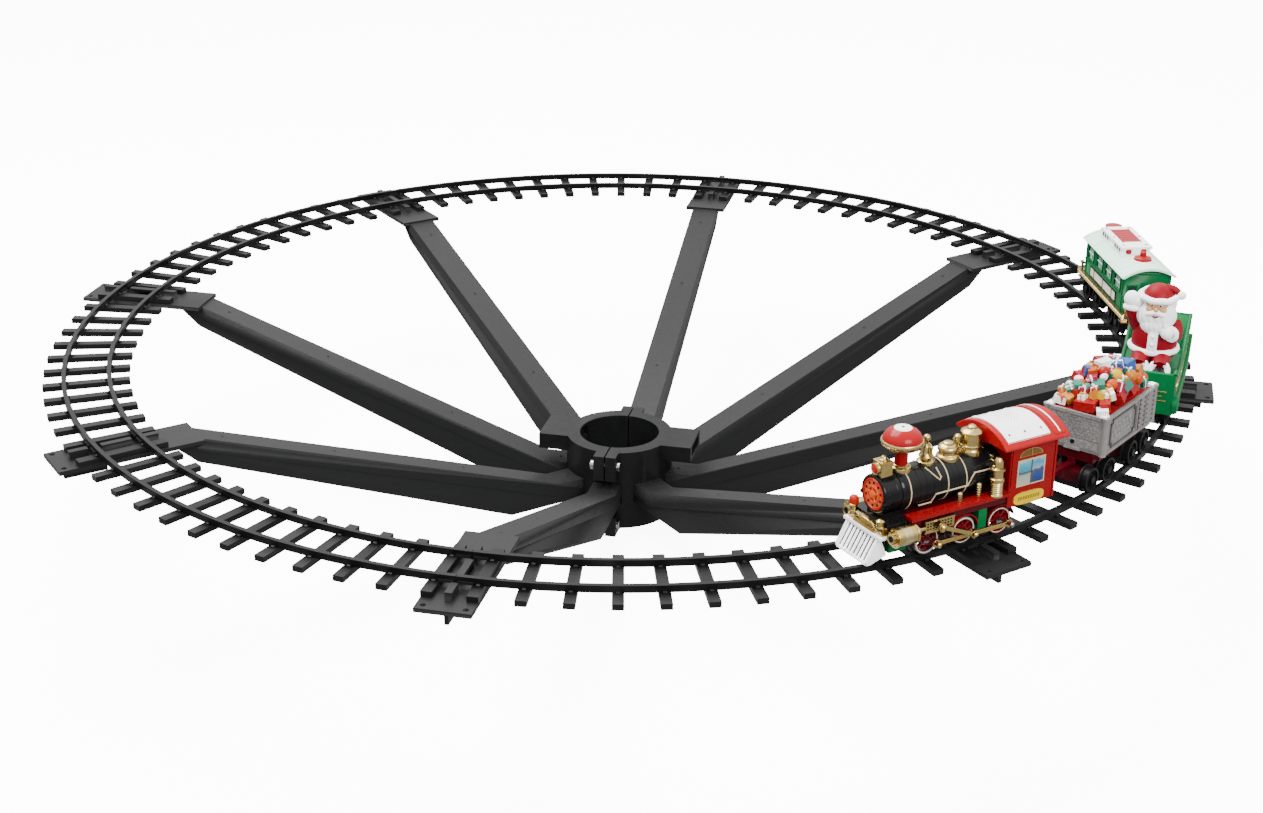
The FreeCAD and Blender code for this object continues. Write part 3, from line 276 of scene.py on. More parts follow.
# ---------------------------------------------------------------- mesh kit

AXES = {"x": Matrix.Rotation(math.radians(90), 4, "Y"),
        "y": Matrix.Rotation(math.radians(-90), 4, "X"), "z": Matrix.Identity(4)}


def shift(x, y, z):
    return Matrix.Translation((x, y, z))


def turn(degrees, axis):
    return Matrix.Rotation(math.radians(degrees), 4, axis)


def span(side, near, far):
    """The low and high ends of something given by its reach on one side."""
    return sorted((side * near, side * far))


def disc(radius, low, high):
    return [(0, low), (radius, low), (radius, high), (0, high)]


def washer(inner, outer, low, high):
    return [(inner, low), (outer, low), (outer, high), (inner, high)]


def facing(way, profile):
    """A turned profile, end for end when it faces the negative way."""
    return profile if way > 0 else [(radius, -level) for radius, level in reversed(profile)]


def circle(count):
    """Evenly spaced angles for a whole turn."""
    return [math.tau * k / count for k in range(count)]


def oval(x, z, wide, tall, degrees):
    """Points on an oval in the (x, z) plane."""
    return [(x + wide * math.cos(math.radians(a)), z + tall * math.sin(math.radians(a)))
            for a in degrees]


class Piece:
    """A mesh put together from forms in one frame, with its materials."""

    def __init__(self, name, place):
        self.name = name
        self.place = place
        self.bm = bmesh.new()
        self.materials = []

    def index(self, material):
        if material not in self.materials:
            self.materials.append(material)
        return self.materials.index(material)

    def form(self, points, faces, material, at=None):
        """Add raw geometry; returns its faces. material is one, or one for each face."""
        at = at or Matrix.Identity(4)
        verts = [self.bm.verts.new(at @ Vector(point)) for point in points]
        made = []
        for number, face in enumerate(faces):
            item = self.bm.faces.new([verts[corner] for corner in face])
            chosen = material[number] if isinstance(material, list) else material
            item.material_index = self.index(chosen)
            item.smooth = True
            made.append(item)
        return made

    def soften(self, faces, width, segments=2, sharp=30):
        """Round the sharp edges among some faces."""
        if width <= 0:
            return
        edges = dict.fromkeys(edge for face in faces for edge in face.edges)
        chosen = [edge for edge in edges if len(edge.link_faces) == 2
                  and edge.calc_face_angle(0) > math.radians(sharp)]
        result = bmesh.ops.bevel(self.bm, geom=chosen, offset=width, segments=segments,
                                 profile=0.5, affect="EDGES", clamp_overlap=True)
        for face in result["faces"]:
            face.smooth = True

    def box(self, low, high, material, width=0.4, at=None):
        (x0, y0, z0), (x1, y1, z1) = low, high
        points = [(x, y, z) for z in (z0, z1) for y in (y0, y1) for x in (x0, x1)]
        faces = [(0, 2, 3, 1), (4, 5, 7, 6), (0, 1, 5, 4), (2, 6, 7, 3), (0, 4, 6, 2), (1, 3, 7, 5)]
        self.soften(self.form(points, faces, material, at), width)

    def prism(self, outline, axis, low, high, material, width=0.3, at=None, sharp=30):
        """An outline carried along an axis; the outline runs on the other two, in order."""
        order = {"x": (2, 0, 1), "y": (0, 2, 1), "z": (0, 1, 2)}[axis]
        count = len(outline)
        points = []
        for level in (low, high):
            for a, b in outline:
                raw = (a, b, level)
                points.append(tuple(raw[order[k]] for k in range(3)))
        faces = [tuple(range(count)), tuple(reversed(range(count, 2 * count)))]
        faces += [(k, k + count, (k + 1) % count + count, (k + 1) % count) for k in range(count)]
        made = self.form(points, faces, material, at)
        bmesh.ops.recalc_face_normals(self.bm, faces=made)
        self.soften(made, width, sharp=sharp)

    def lathe(self, profile, material, axis="z", centre=(0, 0, 0), segments=48, at=None,
              closed=False):
        """Turn a profile of (radius, level) points; material is one, or one for each step."""
        place = (at or Matrix.Identity(4)) @ shift(*centre) @ AXES[axis]
        points, rings = [], []
        for radius, level in profile:
            start = len(points)
            if radius < 1e-6:
                rings.append([start])
                points.append((0, 0, level))
            else:
                rings.append(list(range(start, start + segments)))
                points += [(radius * math.cos(math.tau * k / segments),
                            radius * math.sin(math.tau * k / segments), level)
                           for k in range(segments)]
        skins = material if isinstance(material, list) else [material] * len(rings)
        if closed:
            rings.append(rings[0])
        faces, chosen = [], []
        for step, (low, high) in enumerate(zip(rings, rings[1:])):
            for k in range(segments):
                after = (k + 1) % segments
                corners = [low[k % len(low)], low[after % len(low)],
                           high[after % len(high)], high[k % len(high)]]
                corners = tuple(dict.fromkeys(corners))
                if len(corners) > 2:
                    faces.append(corners)
                    chosen.append(skins[step])
        if not closed and len(rings[0]) > 1:
            faces.append(tuple(reversed(rings[0])))
            chosen.append(skins[0])
        if not closed and len(rings[-1]) > 1:
            faces.append(tuple(rings[-1]))
            chosen.append(skins[len(rings) - 2])
        return self.form(points, faces, chosen, place)

    def tube(self, path, radius, material, sides=10, closed=False, at=None):
        """A round bar along a path, with its ends closed."""
        at = at or Matrix.Identity(4)
        path = [Vector(point) for point in path]
        count = len(path)
        radii = radius if isinstance(radius, list) else [radius] * count
        normal = None
        points = []
        for k, point in enumerate(path):
            before = path[(k - 1) % count] if closed or k > 0 else point
            after = path[(k + 1) % count] if closed or k < count - 1 else point
            along = (after - before).normalized()
            if normal is None:
                normal = along.orthogonal().normalized()
            normal = (normal - along * normal.dot(along)).normalized()
            side = along.cross(normal)
            points += [point + (normal * math.cos(math.tau * j / sides)
                                + side * math.sin(math.tau * j / sides)) * radii[k]
                       for j in range(sides)]
        faces = []
        for k in range(count if closed else count - 1):
            low, high = k * sides, ((k + 1) % count) * sides
            faces += [(low + j, low + (j + 1) % sides, high + (j + 1) % sides, high + j)
                      for j in range(sides)]
        if not closed:
            faces += [tuple(reversed(range(sides))),
                      tuple(range((count - 1) * sides, count * sides))]
        return self.form(points, faces, material, at)

    def ball(self, centre, radii, material, rings=16, segments=28, at=None, shape=None):
        """An ellipsoid; shape may move each point of the unit sphere."""
        radii = radii if isinstance(radii, tuple) else (radii,) * 3
        place = (at or Matrix.Identity(4)) @ shift(*centre)
        points = [(0, 0, -1)]
        for ring in range(1, rings):
            height = -math.cos(math.pi * ring / rings)
            across = math.sin(math.pi * ring / rings)
            points += [(across * math.cos(math.tau * k / segments),
                        across * math.sin(math.tau * k / segments), height)
                       for k in range(segments)]
        points.append((0, 0, 1))
        if shape:
            points = [shape(*point) for point in points]
        points = [tuple(c * r for c, r in zip(point, radii)) for point in points]
        faces = [(0, 1 + (k + 1) % segments, 1 + k) for k in range(segments)]
        for ring in range(rings - 2):
            low = 1 + ring * segments
            faces += [(low + k, low + (k + 1) % segments, low + segments + (k + 1) % segments,
                       low + segments + k) for k in range(segments)]
        low, top = 1 + (rings - 2) * segments, len(points) - 1
        faces += [(low + k, low + (k + 1) % segments, top) for k in range(segments)]
        return self.form(points, faces, material, place)

    def done(self, body, slot, replaces=(), angle=38, local=None):
        """Bake the piece into the row frame and hang it on its body."""
        self.bm.normal_update()
        mesh = bpy.data.meshes.new(self.name)
        self.bm.to_mesh(mesh)
        self.bm.free()
        spots = mesh.attributes.new("local", "FLOAT_VECTOR", "POINT")
        for spot, vertex in zip(spots.data, mesh.vertices):
            spot.vector = (local(vertex.co) if local else vertex.co) * MM
        mesh.transform(self.place)
        for material in self.materials:
            mesh.materials.append(material)
        mesh.set_sharp_from_angle(angle=math.radians(angle))
        item = bpy.data.objects.new(self.name, mesh)
        bpy.context.scene.collection.objects.link(item)
        item.modifiers.new("even_faces", "WEIGHTED_NORMAL").keep_sharp = True
        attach(item, body)
        if replaces:
            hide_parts(*replaces)


FINISH = "_finish"
node_slot = {entry["node"]: entry["material_slot"] for entry in frame["record"]["subparts"]}
node_body = {node: body for body, nodes in frame["record"]["behaviour"]["bodies"].items()
             for node in nodes}


def copy_of(node, material, place, width, paint=None):
    """A piece that starts as a softened copy of a CAD node, in its car's frame."""
    piece = Piece(node + FINISH, place)
    bm = piece.bm
    bm.from_mesh(frame["nodes"][node].data)
    bm.transform(place.inverted())
    bmesh.ops.remove_doubles(bm, verts=bm.verts, dist=0.002)
    bmesh.ops.dissolve_limit(bm, angle_limit=math.radians(0.6), verts=bm.verts, edges=bm.edges)
    index = piece.index(material)
    for face in bm.faces:
        face.material_index = index
        if paint:
            chosen = paint(face.calc_center_median())
            face.material_index = piece.index(chosen) if chosen else index
    piece.soften(list(bm.faces), width, sharp=28)
    for face in bm.faces:
        face.smooth = True
    return piece


def finish(piece, angle=38, local=None):
    """Hang a piece that stands for the CAD node it is named after."""
    node = piece.name.removesuffix(FINISH)
    piece.done(node_body[node], node_slot[node], [node], angle, local)


def skin(node, material, place, width):
    """A softened copy of a CAD node that stands for it as it is."""
    finish(copy_of(node, material, place, width))


# ---------------------------------------------------------------- hub, spokes and track

for side in ("right", "left"):
    skin(f"hub_half_{side}", BLACK, HUB, 1.0)
    skin(f"grip_jaw_{side}", BLACK, HUB, 0.3)
skin("clamp_bolts", STEEL, HUB, 0.5)

SPOKES = 8
SPOKE_TOP = (66, 41, 376, 155.8)    # reach and height at the foot, then at the ring


def spoke_height(reach):
    """The height of a spoke's sloping top at a distance from the trunk."""
    near, low, far, high = SPOKE_TOP
    return low + (high - low) * max(0, reach - near) / (far - near)


def along_spoke(point):
    """Coordinates that run along whichever spoke a point belongs to."""
    step = math.tau / SPOKES
    angle = round(math.atan2(point.y, point.x) / step) * step
    cos, sin = math.cos(angle), math.sin(angle)
    return Vector((point.x * cos + point.y * sin, point.y * cos - point.x * sin + angle * 90,
                   point.z))


spokes = copy_of("spokes", SPOKE_BLACK, HUB, 0.7)
slope = math.degrees(math.atan2(SPOKE_TOP[3] - SPOKE_TOP[1], SPOKE_TOP[2] - SPOKE_TOP[0]))
for index in range(SPOKES):
    for reach in (52, 150, 262, 352):
        tilt = 0 if reach < SPOKE_TOP[0] else -slope
        seat = (turn(index * 360 / SPOKES, "Z") @ shift(reach, 0, spoke_height(reach))
                @ turn(tilt, "Y"))
        spokes.lathe([(0.9, -0.3), (1.4, -0.3), (1.4, 0.1), (1.2, 0.2), (0.9, 0.1)], SPOKE_BLACK,
                     segments=20, at=seat, closed=True)
        # A black disc in each ring: painted shade in its hole.
        spokes.lathe(disc(0.95, -0.2, 0.05), SHADE_AND_PUPIL_BLACK, segments=20, at=seat)
finish(spokes, local=along_spoke)

RAIL_RADII = (415.4, 450)
RING_RADIUS = 432
SECTION = 45                        # degrees of track in one section
SLEEPERS = 12


def along_track(point):
    """Coordinates unrolled along the ring."""
    return Vector((math.atan2(point.y, point.x) * RING_RADIUS, math.hypot(point.x, point.y),
                   point.z))


for number in range(1, 9):
    section = copy_of(f"track_section_{number}", RAIL_BLACK, HUB, 0.45)
    middle = SECTION * (number - 0.5)
    for sleeper in range(SLEEPERS):
        angle = middle + (sleeper - (SLEEPERS - 1) / 2) * SECTION / SLEEPERS
        for rail in RAIL_RADII:
            for way in (-1, 1):
                spot = turn(angle, "Z") @ shift(rail + way * 2.5, 0, 160)
                section.prism([(-0.9, -0.2), (0.9, -0.2), (0.9, 0.8), (0.7 * -way, 1.5),
                               (-0.9, 0.8)], "y", -1.4, 1.4, RAIL_BLACK, 0.25, spot)
    for end in (-0.5, 0.5):
        angle = middle + SECTION * end - math.copysign(0.85, end)
        for rail in RAIL_RADII:
            section.box((rail - 2.7, -5, 160.2), (rail + 2.7, 5, 162), RAIL_BLACK, 0.3,
                        turn(angle, "Z"))
    finish(section, local=along_track)


# ---------------------------------------------------------------- wheels

AXLE_HEIGHT, TREAD = 9.65, 9.6


def driver(label, place):
    """A driving wheelset: red wheels with white rims and steel crank pins."""
    def paint(spot):
        reach = math.hypot(spot.x - place, spot.z - AXLE_HEIGHT)
        if abs(spot.y) > 30 or reach < 1.4:
            return STEEL
        return DARK_RED if reach > TREAD - 0.25 else WHEEL_RED

    piece = copy_of(f"driving_wheels_{label}", WHEEL_RED, LOCO, 0.25, paint=paint)
    for side in (-1, 1):
        piece.lathe([(8.2, 18.4), (8.8, 18.4), (8.8, 19.0), (8.7, 19.15), (8.3, 19.15),
                     (8.2, 19.0)], CREAM, "y", (place, 0, AXLE_HEIGHT), 48,
                    at=Matrix.Scale(side, 4, (0, 1, 0)) if side < 0 else None, closed=True)
        for spoke in range(8):
            angle = math.tau * spoke / 8
            inner = Vector((math.cos(angle), 0, math.sin(angle)))
            middle = Vector((place, side * 17.4, AXLE_HEIGHT))
            piece.tube([middle + inner * 2.4, middle + inner * 7.8], 0.55, WHEEL_RED, 8)
        cap = facing(side, [(0, 28.6), (1.9, 28.6), (1.9, 29.2), (1.2, 29.9), (0, 30.1)])
        piece.lathe(cap, STEEL if label == "rear" else GOLD, "y", (place - 3, 0, AXLE_HEIGHT), 24)
    finish(piece)


for label, place in (("front", 30), ("middle", 0), ("rear", -30)):
    driver(label, place)

for prefix, car in (("gift", GIFT), ("sleigh", SLEIGH), ("coach", COACH)):
    for end in ("front", "rear"):
        skin(f"{prefix}_bogie_{end}", DARK_RED, car, 0.4)
        for way in ("front", "rear"):
            skin(f"{prefix}_bogie_{end}_{way}_wheels", RUNNING_BLACK, car, 0.25)


# ---------------------------------------------------------------- locomotive

BOILER_AXIS = (0, 0, 42.2)
BOILER_SIDES = 72

boiler = Piece("boiler_finish", LOCO)
profile = [(0, -34), (14.2, -34)]
for groove in (-26, -12, 2, 6, 17, 22.5, 28, 33.5, 44):
    profile += [(14.2, groove - 0.5), (13.95, groove - 0.2), (13.95, groove + 0.2),
                (14.2, groove + 0.5)]
profile += [(14.2, 46), (13.7, 47), (0, 47)]
boiler.lathe(profile, BOILER, "x", BOILER_AXIS, BOILER_SIDES)
for place in (41, 11, -4):
    boiler.lathe([(13.85, place - 0.45), (14.45, place - 0.45), (14.7, place),
                  (14.45, place + 0.45), (13.85, place + 0.45)], LINE, "x", BOILER_AXIS,
                 BOILER_SIDES, closed=True)
for angle in range(-60, 241, 12):
    spot = turn(angle, "X") @ shift(0, 0, 14.1)
    for place in (-31, 45.2):
        boiler.ball((place, 0, 0), (0.5, 0.5, 0.35), BOILER, 6, 10, shift(*BOILER_AXIS) @ spot)
finish(boiler)


def mirrored(path):
    """A path on the car's other side."""
    return [(x, -y, z) for x, y, z in path]


pipes = Piece("boiler_pipes", LOCO)
hand_rail = [(32.8, 12, 32.6), (23.3, 12.3, 32.8), (21.2, 14.4, 39), (-4.2, 14.9, 39.4),
             (-10.4, 13.8, 46.7), (-24.2, 13.8, 46.6)]
vee = [(25, 6.4, 55.2), (19.6, 12.6, 49.4), (17.8, 13.2, 48), (16.6, 12.6, 49.4), (17.4, 8, 54.2)]
for path in (hand_rail, vee):
    for line in (path, mirrored(path)):
        pipes.tube(line, 0.55, LINE, 10)
        for point in line:
            pipes.ball(point, 0.6, LINE, 8, 12)
for side in (-1, 1):
    for place, low, high in ((2.2, 30, 36.6), (-13.5, 28, 39.6)):
        steps, rows = [(0, low), (2.2, low)], 6 if high > 38 else 4
        pitch = (high - low - 1.6) / rows
        for row in range(rows):
            level = low + 0.5 + row * pitch
            steps += [(2.2, level), (1.5, level + pitch * 0.3), (1.5, level + pitch * 0.6),
                      (2.1, level + pitch)]
        steps += [(1.6, high - 0.6), (0.8, high), (0, high)]
        pipes.lathe(steps, PALE_GOLD, "z", (place, side * 15.4, 0), 20)
    pipes.lathe([(0, 0), (1.6, 0), (1.6, 1.2), (0.9, 1.8), (0, 1.9)], PALE_GOLD, "z",
                (-28, side * 9, 52.4), 20)
pipes.done("locomotive", "gold")

smokebox = Piece("smokebox_finish", LOCO)
smokebox.lathe(
    [(0, 46.5), (13.2, 46.5), (13.2, 49), (13.5, 49.4), (13.5, 50.6), (13.2, 51), (13.2, 59.2),
     (12.9, 60.4), (12, 61), (11.3, 61), (11.1, 60.2), (11.1, 59.6), (0, 59.6)], BOILER, "x",
    BOILER_AXIS, BOILER_SIDES)
for rivet in range(24):
    spot = shift(*BOILER_AXIS) @ turn(rivet * 15, "X") @ shift(0, 0, 13.15)
    smokebox.ball((57.4, 0, 0), (0.5, 0.5, 0.4), BOILER, 6, 10, spot)
# The orange smokebox face: its paler rings carry a stronger painted glow and stand for painted highlights.
smokebox.lathe(
    [(0, 59.5), (11.0, 59.5), (11.0, 60.6), (10.5, 61.3), (9.6, 61.3), (9.2, 60.7), (6.2, 60.7),
     (5.9, 61.5), (5.0, 61.5), (4.7, 60.9), (3.0, 60.9), (2.6, 62), (1.2, 62.6), (0, 62.7)],
    [LENS_RED] * 5 + [LENS_PAINTED_GLOW] * 4 + [LENS_RED] + [LENS_PAINTED_GLOW] * 3, "x", BOILER_AXIS, 64)
# Black dots round the face are painted shade in its holes; every other spoke is a paler bar with a stronger
# painted glow.
for spoke in range(10):
    spot = shift(*BOILER_AXIS) @ turn(spoke * 36, "X")
    smokebox.lathe(disc(0.95, 60.4, 60.85), SHADE_AND_PUPIL_BLACK, "x", (0, 0, 7.75), 18, at=spot)
    if spoke % 2 == 0:
        smokebox.tube([(61.2, 0, 2.2), (61.4, 0, 5.4)], 0.55, LENS_PAINTED_GLOW, 8, at=spot)
for place in (-1, 1):
    smokebox.box((60.4, place * 11.6 - 0.9, 39), (61.9, place * 11.6 + 0.9, 41), BOILER, 0.3)
finish(smokebox)

stack = Piece("smokestack_finish", LOCO)
profile = [(0, 53.6), (6.9, 53.6), (7.1, 56.4), (6.6, 57.6), (5.3, 58.2), (5.2, 59.2), (4.5, 59.5),
           (4.3, 62), (4.35, 68.4), (4.9, 68.8), (5.1, 69.3), (7.4, 69.9), (9.6, 70.9),
           (12.2, 72.6), (13.7, 74.2), (14.1, 75), (14.1, 75.9), (13.7, 76.5), (13.1, 76.6),
           (13.0, 77.3), (12.4, 79), (11.4, 80.6), (10, 82.1), (8, 83.4), (6.1, 84.2), (5.9, 84.2),
           (5.6, 84.6), (4.4, 84.9), (1.2, 85), (1.1, 84.6), (0, 84.6)]
# The last two steps, inside the chimney's mouth, are painted shade.
colours = ([GOLD] * 6 + [RED] * 3 + [PALE_GOLD] * 8 + [GOLD]
           + [DOME_RED] * 7 + [WHITE] * 3 + [SHADE_AND_PUPIL_BLACK] * 2)
stack.lathe(profile, colours, "z", (40, 0, 0), 64)
for lobe in range(20):
    spot = shift(40, 0, 0) @ turn(lobe * 18, "Z")
    stack.tube(
        [(6.4, 0, 69.4), (9.4, 0, 70.6), (12.6, 0, 72.9), (13.9, 0, 74.9)], 0.4, PALE_GOLD, 6,
        at=spot)
finish(stack)

steam_dome = Piece("steam_dome_finish", LOCO)
steam_dome.lathe(
    [(0, 54), (7.6, 54), (7.8, 56.2), (7.3, 57.2), (6.2, 57.8), (5.9, 58.4), (5.9, 60), (6.5, 60.4),
     (6.9, 61.4), (6.7, 62.6), (6.1, 63.3), (5.8, 63.5), (5.7, 64), (4.7, 64.6), (3.6, 64.9),
     (3.5, 65.8), (2.7, 66.4), (0, 66.6)], GOLD, "z", (2, 0, 0), 56)
finish(steam_dome)

sand_dome = Piece("sand_dome_finish", LOCO)
sand_dome.lathe(
    [(0, 54), (7.5, 54), (7.7, 56.4), (7.2, 57.6), (6.9, 57.8), (6.5, 58.4), (6.5, 59.4), (7.3, 60),
     (7.3, 60.8), (6.8, 61.2), (6.8, 68.6), (7.3, 69), (7.3, 69.8), (6.6, 70.6), (4.6, 71.4),
     (3.2, 71.7), (2.9, 72.2), (2.9, 73), (1.9, 73.8), (1.2, 74), (1, 74.4), (0, 74.5)], GOLD, "z",
    (-17, 0, 0), 56)
sand_dome.tube([(-17 + 2.1 * math.cos(a), 2.1 * math.sin(a), 73.4) for a in circle(24)], 0.4, GOLD,
               8, closed=True)
finish(sand_dome)

bell = Piece("bell_finish", LOCO)
bell.lathe([(0, 54), (5.9, 54), (6, 57), (4.9, 57.8), (3.5, 58.2), (3.3, 59.6), (4.6, 60),
            (5, 60.6), (4.7, 61.2), (3.9, 61.8), (3.3, 63.6), (2.9, 66.4), (2.4, 67.6), (1.4, 68.4),
            (1.1, 69.2), (1.1, 70.6), (0, 70.7)], GOLD, "z", (20, 0, 0), 48)
bell.ball((20, 0, 72.9), 2.5, GOLD)
for side in (-1, 1):
    bell.tube([(20, side * 1, 70), (20, side * 4.4, 69), (20, side * 5.3, 66), (20, side * 5, 60),
               (20, side * 4, 57.4)], [0.7, 0.75, 0.8, 0.8, 0.9], GOLD, 10)
    bell.ball((20, side * 5.2, 67.6), 1.3, GOLD, 10, 16)
finish(bell)

whistle = Piece("whistle", LOCO)
whistle.lathe([(0, 55), (2.6, 55), (2.6, 56.6), (1.2, 57.2), (1.1, 62), (1.9, 62.6), (1.9, 66.4),
               (2.3, 66.8), (2.3, 67.6), (1.4, 68.4), (0, 68.8)], GOLD, "z", (-7.6, -2, 0), 24)
whistle.tube([(-7.6, -2, 60), (-7.6, 2.4, 60.4), (-7.6, 3.4, 61.4)], 0.55, GOLD, 8)
whistle.done("locomotive", "gold")

lamp = copy_of("headlamp", GOLD, LOCO, 0.7)
# The lamp's red lens, with a faint painted glow.
lamp.lathe([(0, 60.2), (3.1, 60.2), (3.1, 60.8), (2.7, 61.3), (0, 61.6)], LENS_RED, "x",
           (0, 0, 60), 36)
lamp.lathe([(3.0, 60), (4.0, 60), (4.0, 61), (3.6, 61.3), (3.0, 61)], GOLD, "x", (0, 0, 60), 36,
           closed=True)
lamp.lathe(
    [(0, 64.6), (2.8, 64.6), (2.8, 65.6), (1.9, 66), (1.7, 67.2), (1, 67.8), (0, 67.9)], GOLD, "z",
    (54, 0, 0), 28)
for side in (-1, 1):
    for level in (55.6, 63.2):
        lamp.box((50, side * 4.8 - 0.3, level), (58.6, side * 4.8 + 0.3, level + 0.7), GOLD, 0.2)
finish(lamp)


def nose_paint(spot):
    """The front of the chassis: black above, green below."""
    if spot.x > 44:
        return BOILER if spot.z > 19.4 else GREEN


chassis = copy_of("loco_chassis", DARK_RED, LOCO, 0.5, paint=nose_paint)
chassis.box((44.8, -18.65, 19.85), (62.1, 18.65, 27.65), BOILER, 0.5)
for side in (-1, 1):
    for place in (0, -30):
        splasher = (oval(place, 9.7, 11.9, 11.9, range(14, 167, 8))
                    + oval(place, 9.7, 10.9, 10.9, range(166, 13, -8)))
        chassis.prism(splasher, "y", *span(side, 11, 20.4), RED if place == 0 else DARK_RED, 0.2)
    low, high = span(side, 11, 19.6)
    chassis.box((12, low, 20.2), (45, high, 22.4), DARK_RED, 0.3)
    chassis.box((-18.4, low, 8), (-11.6, high, 22.4), GREEN, 0.4)
    low, high = span(side, 9, 16)
    chassis.box((44.6, low, 6), (58, high, 12.4), GREEN, 0.6)
    for place in range(-42, 60, 8):
        chassis.ball((place, side * 11.3, 19.8), 0.55, DARK_RED, 6, 10)
finish(chassis)


# ---------------------------------------------------------------- cab

cab = copy_of("cab", RED, LOCO, 0.6)
for side in (-1, 1):
    low, high = span(side, 20.8, 21.55)
    cab.box((-63.6, low, 32), (-40.2, high, 51), LINE, 0.25)
    near, far = span(side, 21, 21.75)
    cab.box((-62.5, near, 33.1), (-41.3, far, 49.9), PICTURE, 0.1)
    cab.prism(oval(-50.9, 53, 10.2, 5.8, range(0, 181, 10)), "y", low, high, GOLD, 0.15)
    cab.prism(oval(-50.9, 53.6, 8.8, 4.4, range(0, 181, 10)), "y", near, far, BROWN, 0.1)
    plate = [(-51.8 + 13 * math.copysign(abs(math.cos(t)) ** 0.55, math.cos(t)),
              22.8 + 4.6 * math.copysign(abs(math.sin(t)) ** 0.7, math.sin(t))) for t in circle(40)]
    cab.prism(plate, "y", low, high, YELLOW, 0.2, sharp=60)
    middle = [(-51.8 + (x + 51.8) * 0.86, 23.3 + (z - 22.8) * 0.62) for x, z in plate]
    cab.prism(middle, "y", *span(side, 21, 21.7), YELLOW, 0.1, sharp=60)
    near, far = span(side, 21, 22.05)
    cab.box((-52.3, near, 33), (-51.5, far, 50), BROWN, 0.12)
    cab.box((-62.4, near, 41.1), (-41.4, far, 41.9), BROWN, 0.12)
    cab.box((-51.3, near, 53.2), (-50.5, far, 58.2), GOLD, 0.1)
    for index in range(9):
        x = -60.6 + index * 2.1
        cab.box((x, near, 21.8), (x + 1.4, far - 0.2, 24.4), OLIVE, 0.3)
    cab.box((-72.4, low, 18.6), (-71.6, high, 61), RED, 0.2)
    cab.box((-36.2, low, 33), (-35.4, high, 61), RED, 0.2)
    near, far = span(side, 14.8, 23.2)
    cab.box((-34.5, near, 30), (46.2, far, 30.5), RED, 0.2)
    cab.box((-74.6, side * 13 - 4.4, 42), (-73.6, side * 13 + 4.4, 56), GOLD, 0.2)
    cab.box((-74.8, side * 13 - 3.5, 42.9), (-74, side * 13 + 3.5, 55.1), SMOKED_GREY, 0.2)
cab.box((-74.5, -6.9, 31.4), (-73.8, 6.9, 32), BOILER, 0.15)
cab.box((-74.5, -6.9, 36.2), (-73.8, 6.9, 36.8), BOILER, 0.15)
finish(cab)
skin("power_switch", RUNNING_BLACK, LOCO, 0.3)


def on_vault(crown, radius, across):
    """The height of a vaulted roof at a distance from its middle."""
    return crown - radius + math.sqrt(radius ** 2 - across ** 2)


def vault_plate(piece, x, y, crown, radius, lift, thick, material, steps=14, width=0.3):
    """A thin plate that follows a vaulted roof."""
    top, low = [], []
    for k in range(steps + 1):
        across = y[0] + (y[1] - y[0]) * k / steps
        height = on_vault(crown, radius, across)
        top.append((across, height + lift))
        low.append((across, height + lift - thick))
    piece.prism(low + top[::-1], "x", x[0], x[1], material, width, sharp=40)


ROOF = (73.5, 38.8)                 # the height of the crown, and the vault's radius
roof = copy_of("cab_roof", ROOF_RED, LOCO, 0.9)
vault_plate(roof, (-65, -29), (-22.6, 22.6), *ROOF, 0.55, 1.6, WHITE)
vault_plate(roof, (-76.6, -67.6), (-24, 24), *ROOF, 0.5, 1.6, ROOF_RED)
vault_plate(roof, (-73, -71.4), (-23.4, 23.4), *ROOF, 0.9, 2, WHITE)
for ring_radius, count in ((1.2, 4), (3.2, 10), (5.4, 16), (7.6, 22)):
    for k in range(count):
        turned = math.tau * k / count + ring_radius
        across = ring_radius * math.sin(turned)
        spot = shift(-45.7 + ring_radius * math.cos(turned), across, on_vault(*ROOF, across))
        roof.lathe(disc(0.34, 0.3, 0.62), ROOF_RED, segments=8, at=spot)
for place in (-60, -46.5, -33.5):
    for across in (-17.5, 17.5):
        tilt = math.degrees(math.asin(across / ROOF[1]))
        spot = shift(place, across, on_vault(*ROOF, across)) @ turn(-tilt, "X")
        # Black discs inside white rings: painted shade in the holes.
        roof.lathe(disc(0.95, 0.2, 0.66), SHADE_AND_PUPIL_BLACK, segments=18, at=spot)
        roof.lathe(washer(0.9, 1.3, 0.2, 0.75), WHITE, segments=18, at=spot, closed=True)
finish(roof)


# ---------------------------------------------------------------- front end and motion

catcher = copy_of("cowcatcher", WHITE, LOCO, 0.35)
for side in (-1, 1):
    catcher.prism([(60.4, 6), (66, 19.6), (68, 19.6), (76.4, 4), (76, 1.8), (73, 1.6)], "y",
                  *span(side, 15.6, 17), WHITE, 0.3)
# A black sheet behind the bars: painted shade in the cowcatcher's hollow.
catcher.prism([(61.4, 18.2), (66.8, 18.2), (75.1, 3.9), (61.4, 3.9)], "y", -15.4, 15.4,
              SHADE_AND_PUPIL_BLACK, 0.1)
catcher.box((60.6, -19.6, 18.6), (68.6, 19.6, 20.7), WHITE, 0.5)
finish(catcher)

